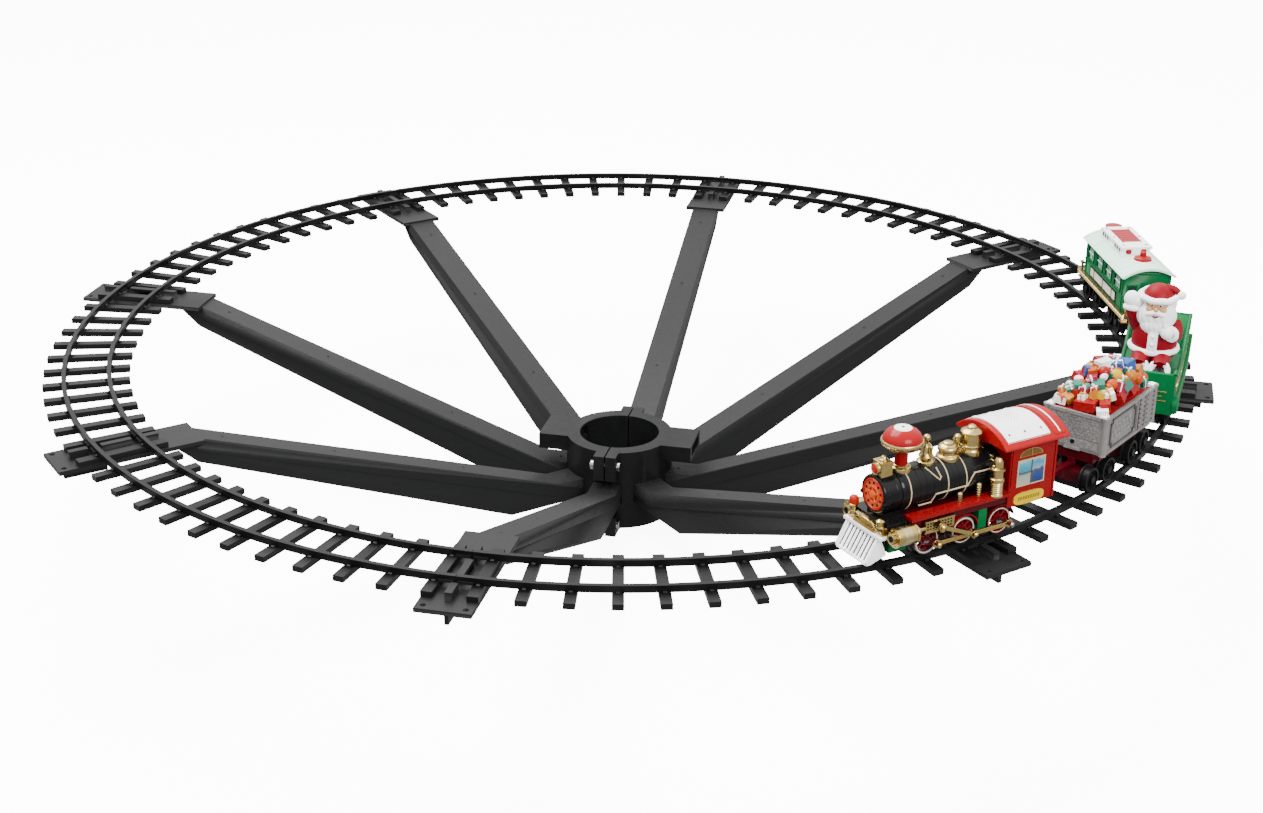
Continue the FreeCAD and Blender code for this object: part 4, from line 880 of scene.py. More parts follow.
beam = copy_of("front_beam", GOLD, LOCO, 0.5)
for side in (-1, 1):
    beam.lathe([(0, 25.6), (2.9, 25.6), (2.9, 26.6), (2.2, 27), (2.2, 29), (2.9, 29.4), (2.9, 30.4),
                (1.6, 31.4), (0, 31.8)], GOLD, "z", (65, side * 14.5, 0), 28)
    for drop in (16.6, 12.2):
        beam.ball((66.4, side * drop, 22.8), (0.8, 1.1, 1.1), GOLD, 8, 14)
    beam.tube([(66.4, side * 10.6, 24.6), (67.6, side * 10.6, 26.6), (67.4, side * 8, 27.6),
               (67, side * 5.4, 26.8)], 0.6, GOLD, 8)
beam.box((66, -10.4, 20.6), (67.8, 10.4, 22), GOLD, 0.4)
beam.box((66, -8.6, 23.2), (67.2, 8.6, 24.2), GOLD, 0.3)
beam.tube([(66.6, 11 * math.cos(a) * 0.82, 24 + 2.8 * math.sin(a))
           for a in circle(24)[:13]], 0.55, GOLD, 8)
# A red marker lens, with a faint painted glow.
beam.lathe([(0, 30), (3.1, 30), (3.3, 31.6), (3.3, 34.2), (2.4, 35.6), (0, 36)], LENS_RED, "z",
           (64.4, -15, 0), 32)
finish(beam)

cylinders = copy_of("steam_cylinders", GOLD, LOCO, 0.4)
for side in (-1, 1):
    centre = (0, side * 24, 21)
    # The black middle of each cylinder's front cover is painted shade in its recess.
    cylinders.lathe([(0, 62.8), (3.8, 62.8), (3.9, 63.4), (3.4, 63.7), (2.8, 63.3), (2.2, 63.3),
                     (1.9, 63.1), (0, 63.1)],
                    [GOLD] * 5 + [SHADE_AND_PUPIL_BLACK] * 2, "x", centre, 36)
    for place in (45, 60.2):
        cylinders.lathe([(5.9, place - 0.7), (6.5, place - 0.7), (6.6, place), (6.5, place + 0.7),
                         (5.9, place + 0.7)], GOLD, "x", centre, 44, closed=True)
    cylinders.lathe([(6.0, 49.4), (6.35, 49.6), (6.35, 56), (6.0, 56.2)], PALE_GOLD, "x", centre,
                    44, closed=True)
    for bolt in range(8):
        spot = shift(*centre) @ turn(bolt * 45 + 22, "X")
        cylinders.ball((61.2, 0, 5), (0.5, 0.55, 0.55), GOLD, 6, 10, spot)
    low, high = span(side, 21, 24)
    for level in (17.6, 25):
        cylinders.box((12, low, level), (36, high, level + 1.2), GOLD, 0.2)
    # Black dots on the cylinder side: painted shade in the grille's holes.
    for row in range(3):
        for column in range(9):
            cylinders.lathe(disc(0.55, -0.3, 0.3), SHADE_AND_PUPIL_BLACK, "y",
                            (14.6 + column * 2.35, side * 23.65, 20.1 + row * 1.9), 10)
finish(cylinders)

pumps = Piece("air_pumps_finish", LOCO)
for side in (-1, 1):
    profile = [(0, 30.2), (4.6, 30.2), (4.6, 31.4), (4.1, 31.8)]
    for rib in range(6):
        level = 32.2 + rib * 1.4
        profile += [(4.0, level), (4.4, level + 0.4), (4.0, level + 1)]
    profile += [
        (4.2, 40.6), (4.9, 41), (4.9, 42.8), (4.2, 43.2), (3.8, 43.8), (3.8, 48.2), (4.4, 48.6),
        (5, 49), (5, 50.2), (4.2, 50.6), (3.5, 51), (3.4, 54.2), (2.9, 55.4), (2.6, 56.2),
        (1.7, 57.6), (0, 58)]
    pumps.lathe(profile, GOLD, "z", (-23.5, side * 21, 0), 40)
    pumps.tube(
        [(-23.5, side * 18.4, 52.6), (-23.5, side * 14.4, 53.4), (-23.5, side * 11, 51)], 0.8, GOLD,
        10)
    pumps.ball((-19.6, side * 21, 52), 0.9, GOLD, 8, 14)
finish(pumps)

for side, way in (("left", 1), ("right", -1)):
    rods = copy_of(f"side_rod_{side}", GOLD, LOCO, 0.3)
    low, high = span(way, 26, 26.55)
    for rear, front in ((-29, -7), (2, 23)):
        for level in (8.75, 10):
            rods.box((rear, low, level), (front, high, level + 0.55), GOLD, 0.12)
    rods.lathe(facing(way, [(0, 0), (2.1, 0), (2.1, 0.8), (1.3, 1.5), (0, 1.7)]), GOLD, "y",
               (24, way * 27.9, 21), 24)
    finish(rods)


# ---------------------------------------------------------------- gift wagon

skin("gift_underframe", DARK_RED, GIFT, 0.5)

tub = copy_of("gift_tub", TUB_GREY, GIFT, 0.5)


def relief(piece, path, side, width, lift, material, place=23):
    """A raised line on a side wall, through (x, z) points."""
    for (x0, z0), (x1, z1) in zip(path, path[1:]):
        length = math.hypot(x1 - x0, z1 - z0)
        at = shift(x0, side * place, z0) @ turn(-math.degrees(math.atan2(z1 - z0, x1 - x0)), "Y")
        piece.box((-width / 2, -lift, -width / 2), (length + width / 2, lift, width / 2), material,
                  0.15, at)


def plaque(low, high, cut_in):
    """A rectangle with stepped-in corners, as (x, z) points."""
    (x0, z0), (x1, z1) = low, high
    return [
        (x0 + cut_in, z0), (x1 - cut_in, z0), (x1 - cut_in, z0 + cut_in), (x1, z0 + cut_in),
        (x1, z1 - cut_in), (x1 - cut_in, z1 - cut_in), (x1 - cut_in, z1), (x0 + cut_in, z1),
        (x0 + cut_in, z1 - cut_in), (x0, z1 - cut_in), (x0, z0 + cut_in),
        (x0 + cut_in, z0 + cut_in), (x0 + cut_in, z0)]


for side in (-1, 1):
    relief(tub, plaque((-7, 31), (32, 51.5), 2.6), side, 0.9, 0.7, TUB_SHADE)
    relief(tub, plaque((-4.4, 33.2), (29.4, 49.3), 2), side, 0.4, 0.35, TUB_GREY)
    relief(tub, [(-10.6, 28), (-10.6, 54)], side, 1.1, 0.8, TUB_GREY)
    relief(tub, [(-13.2, 28), (-13.2, 54)], side, 0.6, 0.6, TUB_SHADE)
    relief(tub, [(-24.6, 28), (-24.6, 54)], side, 0.9, 0.7, TUB_GREY)
    relief(tub, [(-40, 28.4), (40, 28.4)], side, 1.4, 0.9, TUB_GREY)
    relief(tub, [(-40, 54.2), (40, 54.2)], side, 1.6, 1.0, TUB_GREY)
    for column in (-15.6, -22.2, -27, -36.4):
        for row in range(7):
            tub.ball((column, side * 23, 30.4 + row * 3.5), (0.75, 0.7, 0.75), TUB_SHADE, 6, 12)
    for row in range(3):
        for column in range(5 + row % 2):
            x = 12.6 + (column - 2 - (row % 2) / 2) * 4.8
            tub.box((x - 1.9, side * 23 - 0.5, 36.2 + row * 4), (x + 1.9, side * 23 + 0.5,
                    38.4 + row * 4), TUB_GREY, 0.4)
for way in (-1, 1):
    wall = way * 40.5
    for row in range(8):
        for column in range(-5, 5):
            low = column * 3.8 - 0.5 + 1.9 * (row % 2)
            if low + 3.4 < 18.6:
                tub.box((wall - 0.7, low, 36.6 + row * 2), (wall + 0.45, low + 3.4, 38.3 + row * 2),
                        TUB_GREY, 0.25)
    tub.box((wall - 0.5, -18.6, 29.6), (wall + 0.6, 18.6, 35.4), TUB_GREY, 0.4)
    # A black disc on each end wall: painted shade in a hole.
    tub.lathe(disc(1.6, -1, 1), SHADE_AND_PUPIL_BLACK, "x", (wall, 0, 33), 20)
    tub.box((wall - 0.9, -19, 53), (wall + 1, 19, 55.4), TUB_GREY, 0.5)
    tub.box((wall - 0.4, -6, 27.2), (wall + 1.3, 6, 29.4), TUB_GREY, 0.3)
    for side in (-1, 1):
        tub.lathe([(0, 27), (2.6, 27), (2.6, 28), (2.2, 28.6), (2.2, 53.2), (2.7, 54), (2.7, 55.6),
                   (0, 55.8)], TUB_GREY, "z", (way * 39.2, side * 21.9, 0), 28)
        tub.box((way * 37.4 - 3, side * 20.2 - 2.2, 54), (way * 37.4 + 3, side * 20.2 + 2.2, 56.2),
                WHITE, 0.6)
finish(tub)

heap = Piece("gift_pile_finish", GIFT)
heap.box((-37.8, -20.4, 30), (37.8, 20.4, 54.4), PARCELS[0], 0.6)
HEAP_LONG, HEAP_WIDE = 37, 20
HEAP_RIM, HEAP_CROWN = 56, 77


def heap_height(x, y):
    """The height of the heap's surface over a place in the tub."""
    along, across = min(1, abs(x) / HEAP_LONG), min(1, abs(y) / HEAP_WIDE)
    rise = math.sqrt(max(0, (1 - along ** 2.4) * (1 - across ** 2.2)))
    return HEAP_RIM + (HEAP_CROWN - HEAP_RIM) * rise


def parcel(kind, x, y, z, size, material, twist, lean):
    """One parcel: a plain box, a box tied with a bow, or a ball."""
    at = shift(x, y, z) @ turn(twist, "Z") @ turn(lean, "X") @ turn(lean * 0.7, "Y")
    a, b, c = size
    if kind == "ball":
        heap.ball((0, 0, 0), (a, b, c), material, 12, 20, at)
        return
    heap.box((-a, -b, -c), (a, b, c), material, 0.9, at)
    if kind == "box":
        return
    ribbon = PARCELS[6] if material is not PARCELS[6] else PARCELS[3]
    heap.box((-a * 0.16, -b - 0.22, -c - 0.22), (a * 0.16, b + 0.22, c + 0.22), ribbon, 0.2, at)
    heap.box((-a - 0.22, -b * 0.16, -c - 0.22), (a + 0.22, b * 0.16, c + 0.22), ribbon, 0.2, at)
    for way in (-1, 1):
        heap.ball((way * 1.3, 0, c + 0.9), (1.4, 0.8, 0.8), ribbon, 8, 12, at)


NAMES = ("red", "orange", "amber", "yellow", "teal", "blue", "white", "rose")
PLACED = (
    ("box", 33, 4, 59, (5.4, 7.4, 3.4), "red", 4, 4),
    ("box", 27, 14.6, 60.5, (7, 3.6, 3), "red", 28, 8),
    ("box", 35, 17, 57.4, (3.6, 4, 2.2), "white", 30, 6),
    ("box", 33, -15.4, 58, (3.8, 4.4, 2.6), "white", 12, -8),
    ("box", 26, -4, 64, (6.4, 4, 3.2), "red", -32, 12),
    ("ball", 24, -14.6, 62, (4.4, 4.2, 4), "amber", 0, 0),
    ("ball", 21, -7.6, 67.4, (4.6, 4.4, 4), "orange", 0, 0),
    ("box", 19, 5.2, 69, (4.6, 4.4, 2.6), "teal", 24, 12),
    ("bow", 21, 14, 65, (4.4, 3.8, 3), "white", 40, 18),
    ("ball", 13, 12.6, 69.6, (4.2, 4, 3.8), "orange", 0, 0),
    ("box", 12, -12, 68, (4.6, 4.4, 3.4), "red", -20, -14),
    ("ball", 7, 3, 74.4, (4.6, 4.4, 4.2), "red", 0, 0),
    ("ball", 2.4, 9.8, 72.4, (5, 4.8, 4.4), "yellow", 0, 0),
    ("box", 8, -7.4, 73, (4.2, 4, 3), "blue", 40, -8),
    ("box", 2, 16.6, 66.4, (4.4, 3.4, 4), "teal", -16, 30),
    ("box", -2, -2.6, 76, (4.6, 4, 3), "white", -22, 4),
    ("bow", -10, 5, 75.4, (5.2, 3.6, 3), "blue", 14, 12),
    ("ball", -12, 14.4, 68.4, (4.8, 4.6, 4.6), "amber", 0, 0),
    ("ball", -20, 16.4, 64.4, (4.4, 4.2, 4.4), "orange", 0, 0),
    ("box", -9, -7, 75, (5.4, 3.4, 3), "rose", -30, -8),
    ("ball", -1, -13, 69.6, (4.6, 4.4, 4.2), "orange", 0, 0),
    ("box", -13, -14.6, 67.4, (4.4, 4, 3.2), "amber", 18, -22),
    ("box", 14, -17.4, 62.6, (4.2, 3.4, 3), "teal", 10, -26),
    ("box", 4, -18, 62.6, (4.4, 3.2, 3), "yellow", -14, -26),
    ("box", -20, 7, 72.4, (5.6, 3.8, 3), "blue", -10, 8),
    ("bow", -21, -3.4, 73, (4.2, 4.2, 3), "rose", 22, -4),
    ("box", -29, 9.6, 66, (4, 4.8, 3), "amber", 8, 14),
    ("box", -29, -1, 68.6, (5, 3.8, 2.6), "blue", 32, 4),
    ("ball", -25, -12.6, 66, (4.4, 4.2, 4), "red", 0, 0),
    ("box", -33, -12, 61.4, (3.6, 4.6, 3.2), "white", -12, -12),
    ("box", -33.4, 4, 62.4, (3.4, 4.8, 3.4), "rose", 6, 8),
    ("ball", -33, 14.6, 60.6, (3.8, 4, 3.8), "orange", 0, 0),
    ("box", 11, 18, 61.6, (4.4, 3, 3.4), "red", 8, 24),
    ("box", -6, 18.2, 61.6, (4.2, 3, 3.4), "red", -6, 26),
)
for kind, x, y, z, size, colour, twist, lean in PLACED:
    parcel(kind, x, y, z, size, PARCELS[NAMES.index(colour)], twist, lean)
for _ in range(84):
    x, y = random.uniform(-34, 34), random.uniform(-18.4, 18.4)
    size = tuple(random.uniform(2.2, 3.8) for _ in range(3))
    level = min(heap_height(x, y), HEAP_CROWN) - random.uniform(2.2, 6.5)
    parcel(random.choice(("box", "box", "ball", "bow")), x, y, level, size, random.choice(PARCELS),
           random.uniform(0, 90), random.uniform(-22, 22))
finish(heap)


# ---------------------------------------------------------------- sleigh and figure

sleigh = copy_of("sleigh", GREEN, SLEIGH, 0.9)
RIM = [(50.6, 43.4), (47, 45.2), (40, 38.4), (32, 35.2), (24, 33.3), (4, 33.3), (-14, 37.2),
       (-30, 46.6), (-41, 54.2), (-47, 56.2), (-50.6, 55.2)]


CURLS = ((36, 28.6, 2.6, 4.2, -1), (25, 26.4, 0.2, 3.4, 1), (12, 28, 2.9, 3.8, -1),
         (0, 27.4, 0.3, 3.6, 1), (-12, 30.6, 2.6, 4, -1), (-24, 34.6, 0.5, 4.2, 1),
         (-34, 41, 2.4, 4.2, -1), (-43.4, 48.6, 0.6, 4, 1))


def spiral(x, z, start, radius, turns, way):
    """A curl in the (x, z) plane that winds in to its centre."""
    curl, count = [], 26
    for k in range(count + 1):
        reach = radius * (1 - 0.85 * k / count)
        angle = start + way * turns * math.tau * k / count
        curl.append((x + reach * math.cos(angle), z + reach * math.sin(angle)))
    return curl


for side in (-1, 1):
    wall = side * 22.4

    def on_side(path, out):
        return [(x, wall + side * out, z) for x, z in path]

    sleigh.tube(on_side(RIM, -0.7), 1.5, GREEN, 12)
    runner = [
        (52, 13), (53.5, 17), (51, 21.6), (45, 22), (30, 18.4), (5, 17.4), (-20, 20), (-36, 26),
        (-45, 33), (-50.5, 40), (-52, 40), (-51.5, 34), (-47, 25), (-37, 17.4), (-24, 13),
        (10, 10.6), (40, 10.2)]
    sleigh.prism(runner, "y", *span(side, 21.8, 24.8), GREEN, 0.7, sharp=40)
    scroll = [(0, -1.4), (6.6, -1.4), (7, -1), (7, 2.2), (6.4, 2.8), (5, 2.9), (4.4, 2.2),
              (3.6, 2.2), (3, 3), (0, 3.3)]
    sleigh.lathe(facing(side, scroll), GREEN, "y", (46.4, wall + side * 0.6, 19), 40)
    sleigh.tube(on_side(spiral(46.4, 19, 0.4, 6, 1.6, 1), 3.3), 0.55, GREEN, 8)
    for x, z, start, radius, way in CURLS:
        sleigh.tube(on_side(spiral(x, z, start, radius, 1.5, way), 0.1), 0.5, GOLD, 8)
    sleigh.tube(on_side([(47, 40.4), (38, 33.6), (24, 30.2), (4, 30.2), (-15, 33.8), (-31, 43),
                         (-41, 50.6), (-48.4, 52.6)], 0.1), 0.35, GOLD, 8)
    for x, z in ((31, 30.6), (18, 30), (6, 31), (-6, 31.6), (-18, 36.4), (-29, 40.6), (-38, 46.6)):
        sleigh.ball((x, wall, z - 3.4), (1.1, 0.8, 1.1), GOLD, 8, 14)
for width, level, x in ((17, 30, 52.2), (14, 26.4, 52.3), (17, 22.8, 52.2)):
    sleigh.tube([(x, -width, level), (x + 0.3, 0, level), (x, width, level)], 0.5, GOLD, 8)
sleigh.tube([(-49.6, -21.6, 55.4), (-49.6, 21.6, 55.4)], 1.4, GREEN, 12)
for row in range(4):
    sleigh.tube([(-50.2, -18, 49 - row * 6), (-50.2, 18, 49 - row * 6)], 0.5, GOLD, 8)
finish(sleigh)


def ring_path(centre, across, along, count=40, wave=0.0, tilt=0.0):
    """A level loop of points, with a slight wave for a furry trim."""
    x, y, z = centre
    return [(x + across * math.cos(a), y + along * math.sin(a),
             z + tilt * math.cos(a) + wave * math.sin(7 * a)) for a in circle(count)]


def furry(count, size, spread, seed=3):
    """Radii for a fur band, uneven along its length."""
    dice = random.Random(seed)
    return [size * (1 + dice.uniform(-spread, spread)) for _ in range(count)]


figure = Piece("figure_finish", SLEIGH)
for side in (-1, 1):
    figure.tube(
        [(-2, side * 7, 40), (8, side * 7.4, 41), (17, side * 7.6, 40), (23, side * 7.8, 37)],
        [6.6, 7, 6.8, 6.2], COAT_RED, 24)
    cuff = [(24 - 2.4 * math.sin(a), side * 7.8 + 6 * math.cos(a), 35.6 + 5.2 * math.sin(a))
            for a in circle(30)]
    figure.tube(cuff, furry(30, 2.4, 0.09), FUR, 12, closed=True)

    def sole(x, y, z):
        return (x * (1.0 if x > 0 else 0.8), y, max(z, -0.72))

    figure.ball((28.4, side * 7.8, 32.6), (7.4, 5.7, 6), BOOT, 22, 32, shape=sole)
    figure.box((22.4, side * 7.8 - 4.6, 27.2), (34.6, side * 7.8 + 4.6, 28.8), BOOT, 0.7)

figure.lathe([(0, 37.6), (13.4, 37.6), (15.8, 40), (16.8, 44), (17, 48), (16.8, 53), (16, 58.4),
              (14.4, 64), (12.2, 69), (8, 72), (0, 73)], COAT_RED, "z", (0, 0, 0), 64)
figure.tube(ring_path((0.4, 0, 45.6), 17, 17), furry(40, 2.3, 0.08, 5), FUR, 14, closed=True)
front = [(17, 0, 46), (17.4, 0, 53), (16.8, 0, 58), (15.4, 0, 64), (13, 0, 69)]
for offset in (-1.5, 1.5):
    figure.tube([(x - 0.4, offset, z) for x, _, z in front], 2.2, FUR, 14)
for level, x in ((53, 19.3), (59, 18.5)):
    figure.ball((x, 0, level), (0.9, 1.5, 1.5), FUR, 8, 16)


def strands(x, y, z):
    """A beard's form: strands that ripple round the chin."""
    around = math.atan2(y, x)
    ripple = 1 + 0.035 * math.sin(around * 18 + z * 3) * (1 - 0.4 * abs(z))
    return (x * ripple * 0.94, y * ripple, z * (1.04 if z < 0 else 1))


figure.ball((3, 0, 83), (12.4, 12, 11.8), FUR, 26, 44)
figure.ball((6.6, 0, 73), (12.4, 14.6, 12.4), FUR, 30, 90, shape=strands)
figure.ball((9.6, 0, 67), (9.4, 11, 9.6), FUR, 24, 80, shape=strands)
figure.ball((9.4, 0, 82.6), (8, 8.6, 6.6), SKIN, 24, 36)
for side in (-1, 1):
    figure.ball((13.6, side * 4.6, 79.4), (3.4, 3.2, 2.6), SKIN, 14, 22)
    figure.ball((16.6, side * 3.2, 83.6), (0.9, 1.25, 1.3), FUR, 10, 16)
    figure.ball((17.3, side * 3.2, 83.5), (0.45, 0.72, 0.85), SHADE_AND_PUPIL_BLACK, 10, 16)
    figure.tube([(16.2, side * 1.4, 86.4), (16.6, side * 3.2, 87.1), (15.2, side * 5.6, 86.2)],
                [0.7, 0.95, 0.6], FUR, 10)
    figure.tube([(17.8, side * 0.2, 78), (18.2, side * 2.6, 77.6), (17.2, side * 5.4, 76.2),
                 (15, side * 7.8, 75.4)], [1.7, 2, 1.6, 0.7], FUR, 14)
    figure.ball((4.6, side * 11.4, 82), (3.8, 2.4, 5.2), FUR, 14, 22)
figure.ball((18.4, 0, 80.6), (1.9, 1.7, 1.7), SKIN, 14, 22)
figure.tube([(18.1, -2.1, 75.2), (18.7, 0, 74.7), (18.1, 2.1, 75.2)], [0.5, 0.75, 0.5], LIP, 10)
figure.lathe([(0, 84), (11.4, 84), (11.4, 87.6), (10.6, 90.2), (9, 92.6), (7, 94.4), (4.6, 95.6),
              (2.2, 96.2), (0, 96.4)], COAT_RED, "z", (3.6, 0, 0), 56)
figure.tube(ring_path((4, 0, 87.4), 13, 13, 44, 0.3, -0.8), furry(44, 2.5, 0.07, 9), FUR, 14,
            closed=True)
figure.tube([(2.4, 5, 93), (2.2, 9.4, 92.8), (2.6, 13, 91.6), (3.4, 15, 90.2)], [3.4, 3, 2.5, 1.8],
            COAT_RED, 18)
figure.ball((4, 16.4, 89.2), 3.3, FUR, 18, 26)
figure.tube([(0, -12.4, 61), (2, -14.6, 66), (5, -16.6, 72), (6.6, -18, 76)], [6.6, 6.4, 5.8, 5.4],
            COAT_RED, 24)
figure.tube([(6.9 + 4.8 * math.cos(a), -18 + 5 * math.sin(a), 76.6 + 0.8 * math.cos(a))
             for a in circle(30)], furry(30, 2.3, 0.08, 11), FUR, 12,
            closed=True)
figure.ball((8, -19, 83.4), (5.4, 5.8, 6.4), FUR, 20, 30)
figure.ball((10.4, -14, 82.4), (2.4, 2.6, 3.2), FUR, 14, 20)
figure.tube([(0, 12.4, 66), (3, 14.6, 61.6), (8, 15, 58.6), (12.4, 13.4, 60)], [5.8, 5.9, 5.6, 5.2],
            COAT_RED, 24)
figure.tube([(13.4 + 1.4 * math.cos(a), 12.6 + 3.9 * math.cos(a), 61.2 + 4.4 * math.sin(a))
             for a in circle(30)], furry(30, 2.0, 0.08, 13), FUR, 12,
            closed=True)
figure.ball((17, 9.8, 63), (4.8, 4.8, 5.2), FUR, 20, 30)
figure.ball((17.6, 8.4, 67.6), (2, 2, 2.6), FUR, 14, 20)
finish(figure, angle=60)


# ---------------------------------------------------------------- coach

deck = copy_of("coach_underframe", GOLD, COACH, 0.4)
for side in (-1, 1):
    for k in range(24):
        deck.ball((-57.5 + k * 5, side * 22.4, 19.9), (0.8, 0.5, 0.8), GOLD, 6, 10)
    low, high = span(side, 21.6, 22.9)
    deck.box((-60, low, 21.9), (60, high, 22.7), GOLD, 0.25)
for way in (-1, 1):
    for place in (-19, -12.6, -6.3, 6.3, 12.6, 19):
        deck.lathe(
            [(0, 21), (1.3, 21), (1.3, 22.2), (0.9, 22.6), (0.9, 25.2), (1.2, 25.7), (0, 25.9)],
            GOLD, "z", (way * 59.2, place, 0), 16)
    deck.tube([(way * 59.2, -19.8, 26.8), (way * 59.2, 19.8, 26.8)], 1.0, GOLD, 12)
    for place in (-1, 1):
        deck.ball((way * 59.2, place * 19.6, 27.8), 1.7, GOLD, 10, 16)
        deck.box((way * 56 - 4.4, place * 19 - 3, 14.8), (way * 56 + 4.4, place * 19 + 3, 15.8),
                 GOLD, 0.3)
        deck.box((way * 56 - 0.8, place * 19 - 2.4, 15.4), (way * 56 + 0.8, place * 19 + 2.4, 20),
                 GOLD, 0.2)
finish(deck)

body = copy_of("coach_body", GREEN, COACH, 0.4)
# A black box inside the body: painted shade in the coach's interior, seen through its windows.
body.box((-47, -17.4, 35), (47, 17.4, 49.6), SHADE_AND_PUPIL_BLACK, 0.3)
for side in (-1, 1):
    def slab(low, high, out, material, width=0.2):
        near, far = span(side, 19.6, 20 + out)
        body.box((low[0], near, low[1]), (high[0], far, high[1]), material, width)

    for index in range(4):
        x = (index - 1.5) * 23.4
        slab((x - 8.6, 36.4), (x + 8.6, 38), 0.8, GREEN)
        slab((x - 8.6, 48), (x + 8.6, 49.5), 0.8, GREEN)
        for edge in (-7.8, 7.8):
            slab((x + edge - 0.8, 37.1), (x + edge + 0.8, 48.9), 0.8, GREEN)
        slab((x - 7, 42.6), (x + 7, 43.4), 0.1, MINT, 0.1)
        slab((x - 0.4, 38), (x + 0.4, 48), 0.1, MINT, 0.1)
        for edge in (-3.6, 3.6):
            slab((x + edge - 0.25, 38), (x + edge + 0.25, 48), 0.05, MINT, 0.08)
    for x in (-46.8, -23.4, 0, 23.4, 46.8):
        slab((x - 1, 23), (x + 1, 50.6), 0.5, GREEN)
    slab((-50, 34), (50, 35.2), 0.7, GREEN)
    slab((-50, 22), (50, 23.4), 0.9, DARK_GREEN)
    slab((-33, 24.4), (33, 32.4), 0.35, CREAM)
    for low, high in (((-34, 24), (34, 24.8)), ((-34, 32), (34, 32.8)), ((-34, 24), (-33.2, 32.8)),
                      ((33.2, 24), (34, 32.8))):
        slab(low, high, 0.75, BOILER, 0.15)
    for row in range(5):
        slab((-31.6, 25.3 + row * 1.4), (31.6, 25.6 + row * 1.4), 0.5, CREAM, 0.1)
for way in (-1, 1):
    end = way * 50

    def panel(low, high, out, material, width=0.2):
        near, far = span(way, 49.6, 50 + out)
        body.box((near, low[0], low[1]), (far, high[0], high[1]), material, width)

    panel((-5.4, 22.4), (5.4, 46), 0.7, GREEN)
    panel((-3.8, 34.6), (3.8, 44), 0.95, SMOKED_GREEN)
    panel((-0.3, 34.6), (0.3, 44), 1.15, MINT, 0.1)
    panel((-3.8, 38.9), (3.8, 39.5), 1.15, MINT, 0.1)
    for place in (-12.6, 12.6):
        panel((place - 4.4, 34), (place + 4.4, 44.6), 0.7, GREEN)
        panel((place - 3.4, 35), (place + 3.4, 43.6), 0.9, SMOKED_GREEN)
    body.ball((end + way * 1, 3.9, 33), 0.8, GOLD, 8, 12)
finish(body)

COACH_ROOF = (59.5, 39.02)


def roof_paint(spot):
    """The coach's roof: red lamps at its ends and a white housing between them."""
    if spot.z > 59.7 and not -36.6 <= spot.x <= 25:
        return DOME_RED
    if spot.z > 59.5:
        return WHITE


canopy = copy_of("coach_roof", MINT, COACH, 0.5, paint=roof_paint)
for x in (-50, -28, -6, 16, 38, 52):
    vault_plate(canopy, (x - 0.5, x + 0.5), (-22.6, 22.6), *COACH_ROOF, 0.45, 0.9, MINT, width=0.15)
canopy.box((-37.6, -13.4, 64.4), (17.6, 13.4, 66.2), WHITE, 0.7)
canopy.box((-37.2, -12.9, 57.4), (17.2, 12.9, 59.8), WHITE, 0.5)
for side in (-1, 1):
    for x in (-26, 5.4):
        low, high = span(side, 11.8, 12.5)
        canopy.box((x - 8, low, 60), (x + 8, high, 64), SMOKED_GREY, 0.3)
        low, high = span(side, 11.8, 12.9)
        for bar in (-8.4, -2.8, 2.8, 8.4):
            canopy.box((x + bar - 0.35, low, 59.6), (x + bar + 0.35, high, 64.4), WHITE, 0.15)
        canopy.box((x - 8.8, low, 59.6), (x + 8.8, high, 60.3), WHITE, 0.15)
for slat in range(6):
    x = -26 + slat * 5.4
    canopy.box((x - 2.2, -7.4, 65.6), (x + 2.2, 7.4, 66.9), DOME_RED, 0.5)
canopy.box((-30, -8.2, 65.6), (5, -7.4, 66.7), DOME_RED, 0.25)
canopy.box((-30, 7.4, 65.6), (5, 8.2, 66.7), DOME_RED, 0.25)
# Black discs on the roof: painted shade in its holes.
for x, y in ((11.6, -9.6), (11.6, 9.6), (-33.4, -9.6), (-33.4, 9.6), (-10, 10.8), (-10, -10.8)):
    canopy.lathe(disc(1.1, 65.8, 66.34), SHADE_AND_PUPIL_BLACK, "z", (x, y, 0), 18)
for way, end in ((1, 16), (-1, -36)):
    for y in (-6.4, 6.4):
        lens = facing(way, [(0, -0.4), (2.5, -0.4), (2.5, 0.5), (1.9, 1.1), (0, 1.2)])
        canopy.lathe(lens, DOME_RED, "x", (end, y, 61.8), 28)
canopy.lathe(
    [(0, 58.4), (8.4, 58.4), (8.4, 60), (7.6, 60.6), (0, 60.6)], WHITE, "z", (33, 0, 0), 48)
canopy.lathe([(0, 58.4), (7.4, 58.4), (7.6, 60.4), (7, 61.8), (5.4, 63), (3.2, 63.7), (2.4, 64),
              (2.2, 65.2), (2.6, 65.8), (2.4, 67), (1.2, 67.8), (0, 67.9)], DOME_RED, "z",
             (33, 0, 0), 48)
canopy.lathe([(0, 58.4), (8, 58.4), (8, 60.2), (7.4, 62.8), (5.4, 64.6), (2.6, 65.6), (0, 65.8)],
             DOME_RED, "z", (-44, 0, 0), 48)
finish(canopy)


# ---------------------------------------------------------------- stage, light and camera

def paper():
    """Seamless white paper, lit from behind as in a cut-out studio picture."""
    graph = Graph("studio_paper")
    graph.place = graph.node("TexCoord").outputs["Object"]
    graph.set(Base_Color=graph.ramp(graph.noise(40, 6, 0.6), [(0.3, (0.95, 0.95, 0.95)),
                                                              (0.7, (0.97, 0.97, 0.97))]),
              Roughness=0.9, Emission_Color=(1, 1, 1, 1), Emission_Strength=9)
    return graph.material


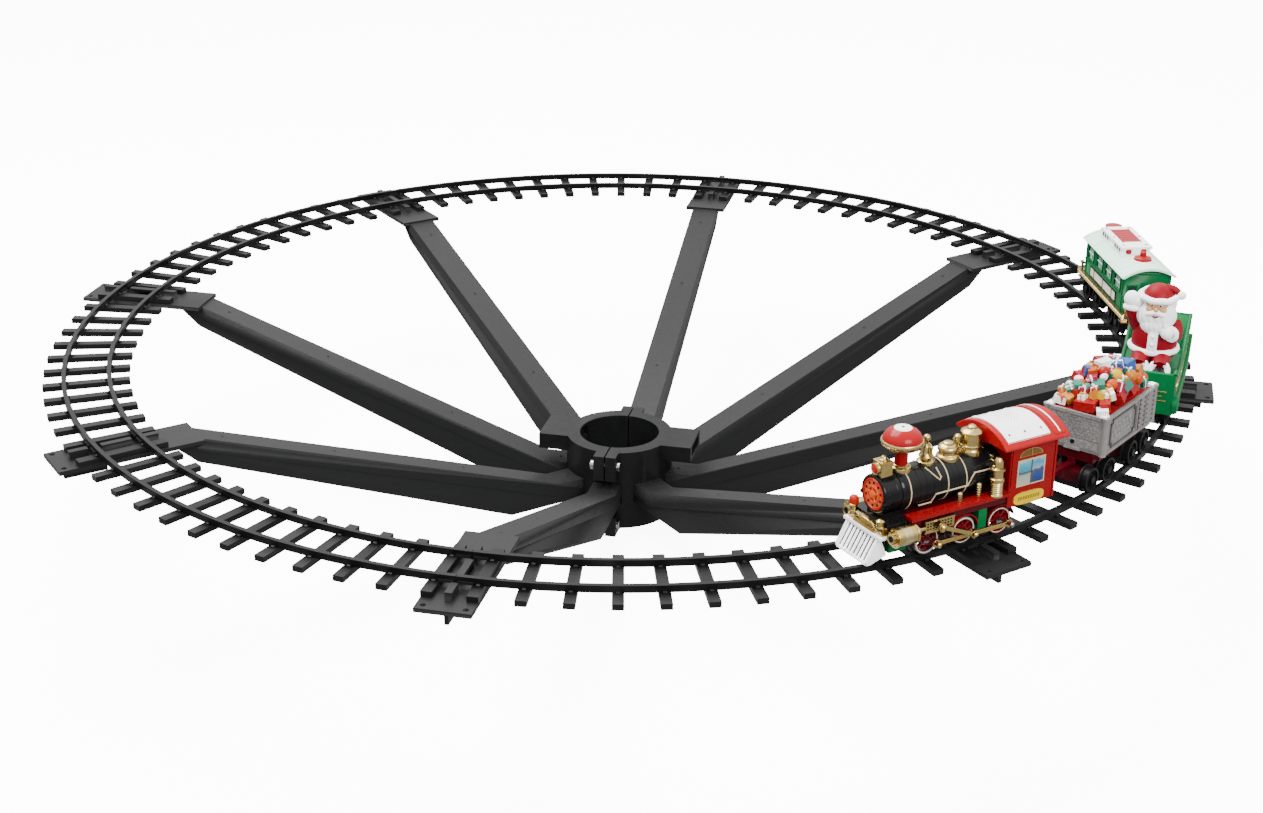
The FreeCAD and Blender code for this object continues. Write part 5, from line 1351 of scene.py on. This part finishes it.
FLOOR_REACH, FLOOR_LEVEL = 9, -0.0035
sheet = bpy.data.meshes.new("floor")
sheet.from_pydata([(x * FLOOR_REACH, y * FLOOR_REACH, FLOOR_LEVEL)
                   for x, y in ((-1, -1), (1, -1), (1, 1), (-1, 1))], [], [(0, 1, 2, 3)])
sheet.materials.append(paper())
floor = bpy.data.objects.new("floor", sheet)
floor.visible_diffuse = floor.visible_glossy = floor.visible_shadow = False
bpy.context.scene.collection.objects.link(floor)

world = bpy.data.worlds.new("studio")
world.use_nodes = True
nodes, links = world.node_tree.nodes, world.node_tree.links
direction = nodes.new("ShaderNodeTexCoord")
height = nodes.new("ShaderNodeSeparateXYZ")
dome = nodes.new("ShaderNodeValToRGB")
dome.color_ramp.elements[0].position, dome.color_ramp.elements[0].color = 0, (0.3, 0.3, 0.3, 1)
dome.color_ramp.elements[1].position, dome.color_ramp.elements[1].color = 0.6, (1, 1, 1, 1)
links.new(direction.outputs["Generated"], height.inputs[0])
links.new(height.outputs["Z"], dome.inputs["Fac"])
links.new(dome.outputs["Color"], nodes["Background"].inputs["Color"])
nodes["Background"].inputs["Strength"].default_value = 2.6
bpy.context.scene.world = world


def softbox(name, place, target, size, power):
    """A soft white area light, aimed at a point."""
    light = bpy.data.lights.new(name, "AREA")
    light.shape = "RECTANGLE"
    light.size, light.size_y = size
    light.energy = power
    item = bpy.data.objects.new(name, light)
    item.location = place
    item.rotation_euler = (Vector(target) - Vector(place)).to_track_quat("-Z", "Y").to_euler()
    bpy.context.scene.collection.objects.link(item)


softbox("key", (-0.5, 0.4, 1.9), (0.1, 0, 0.1), (1.8, 1.2), 105)
softbox("front", (0.9, -1.6, 1.2), (0.3, -0.2, 0.17), (1.0, 0.7), 38)

camera = bpy.data.objects.new("camera", bpy.data.cameras.new("camera"))
camera.data.sensor_width = 36
camera.data.lens = 56.15
pitch, roll = math.radians(23.274), math.radians(0.44)
right, up = Vector((1, 0, 0)), Vector((0, math.sin(pitch), math.cos(pitch)))
right, up = (right * math.cos(roll) + up * math.sin(roll),
             up * math.cos(roll) - right * math.sin(roll))
camera.matrix_world = (Matrix.Translation((0.0101, -1.5405, 0.7558))
                       @ Matrix((right, up, right.cross(up))).transposed().to_4x4())
bpy.context.scene.collection.objects.link(camera)
bpy.context.scene.camera = camera
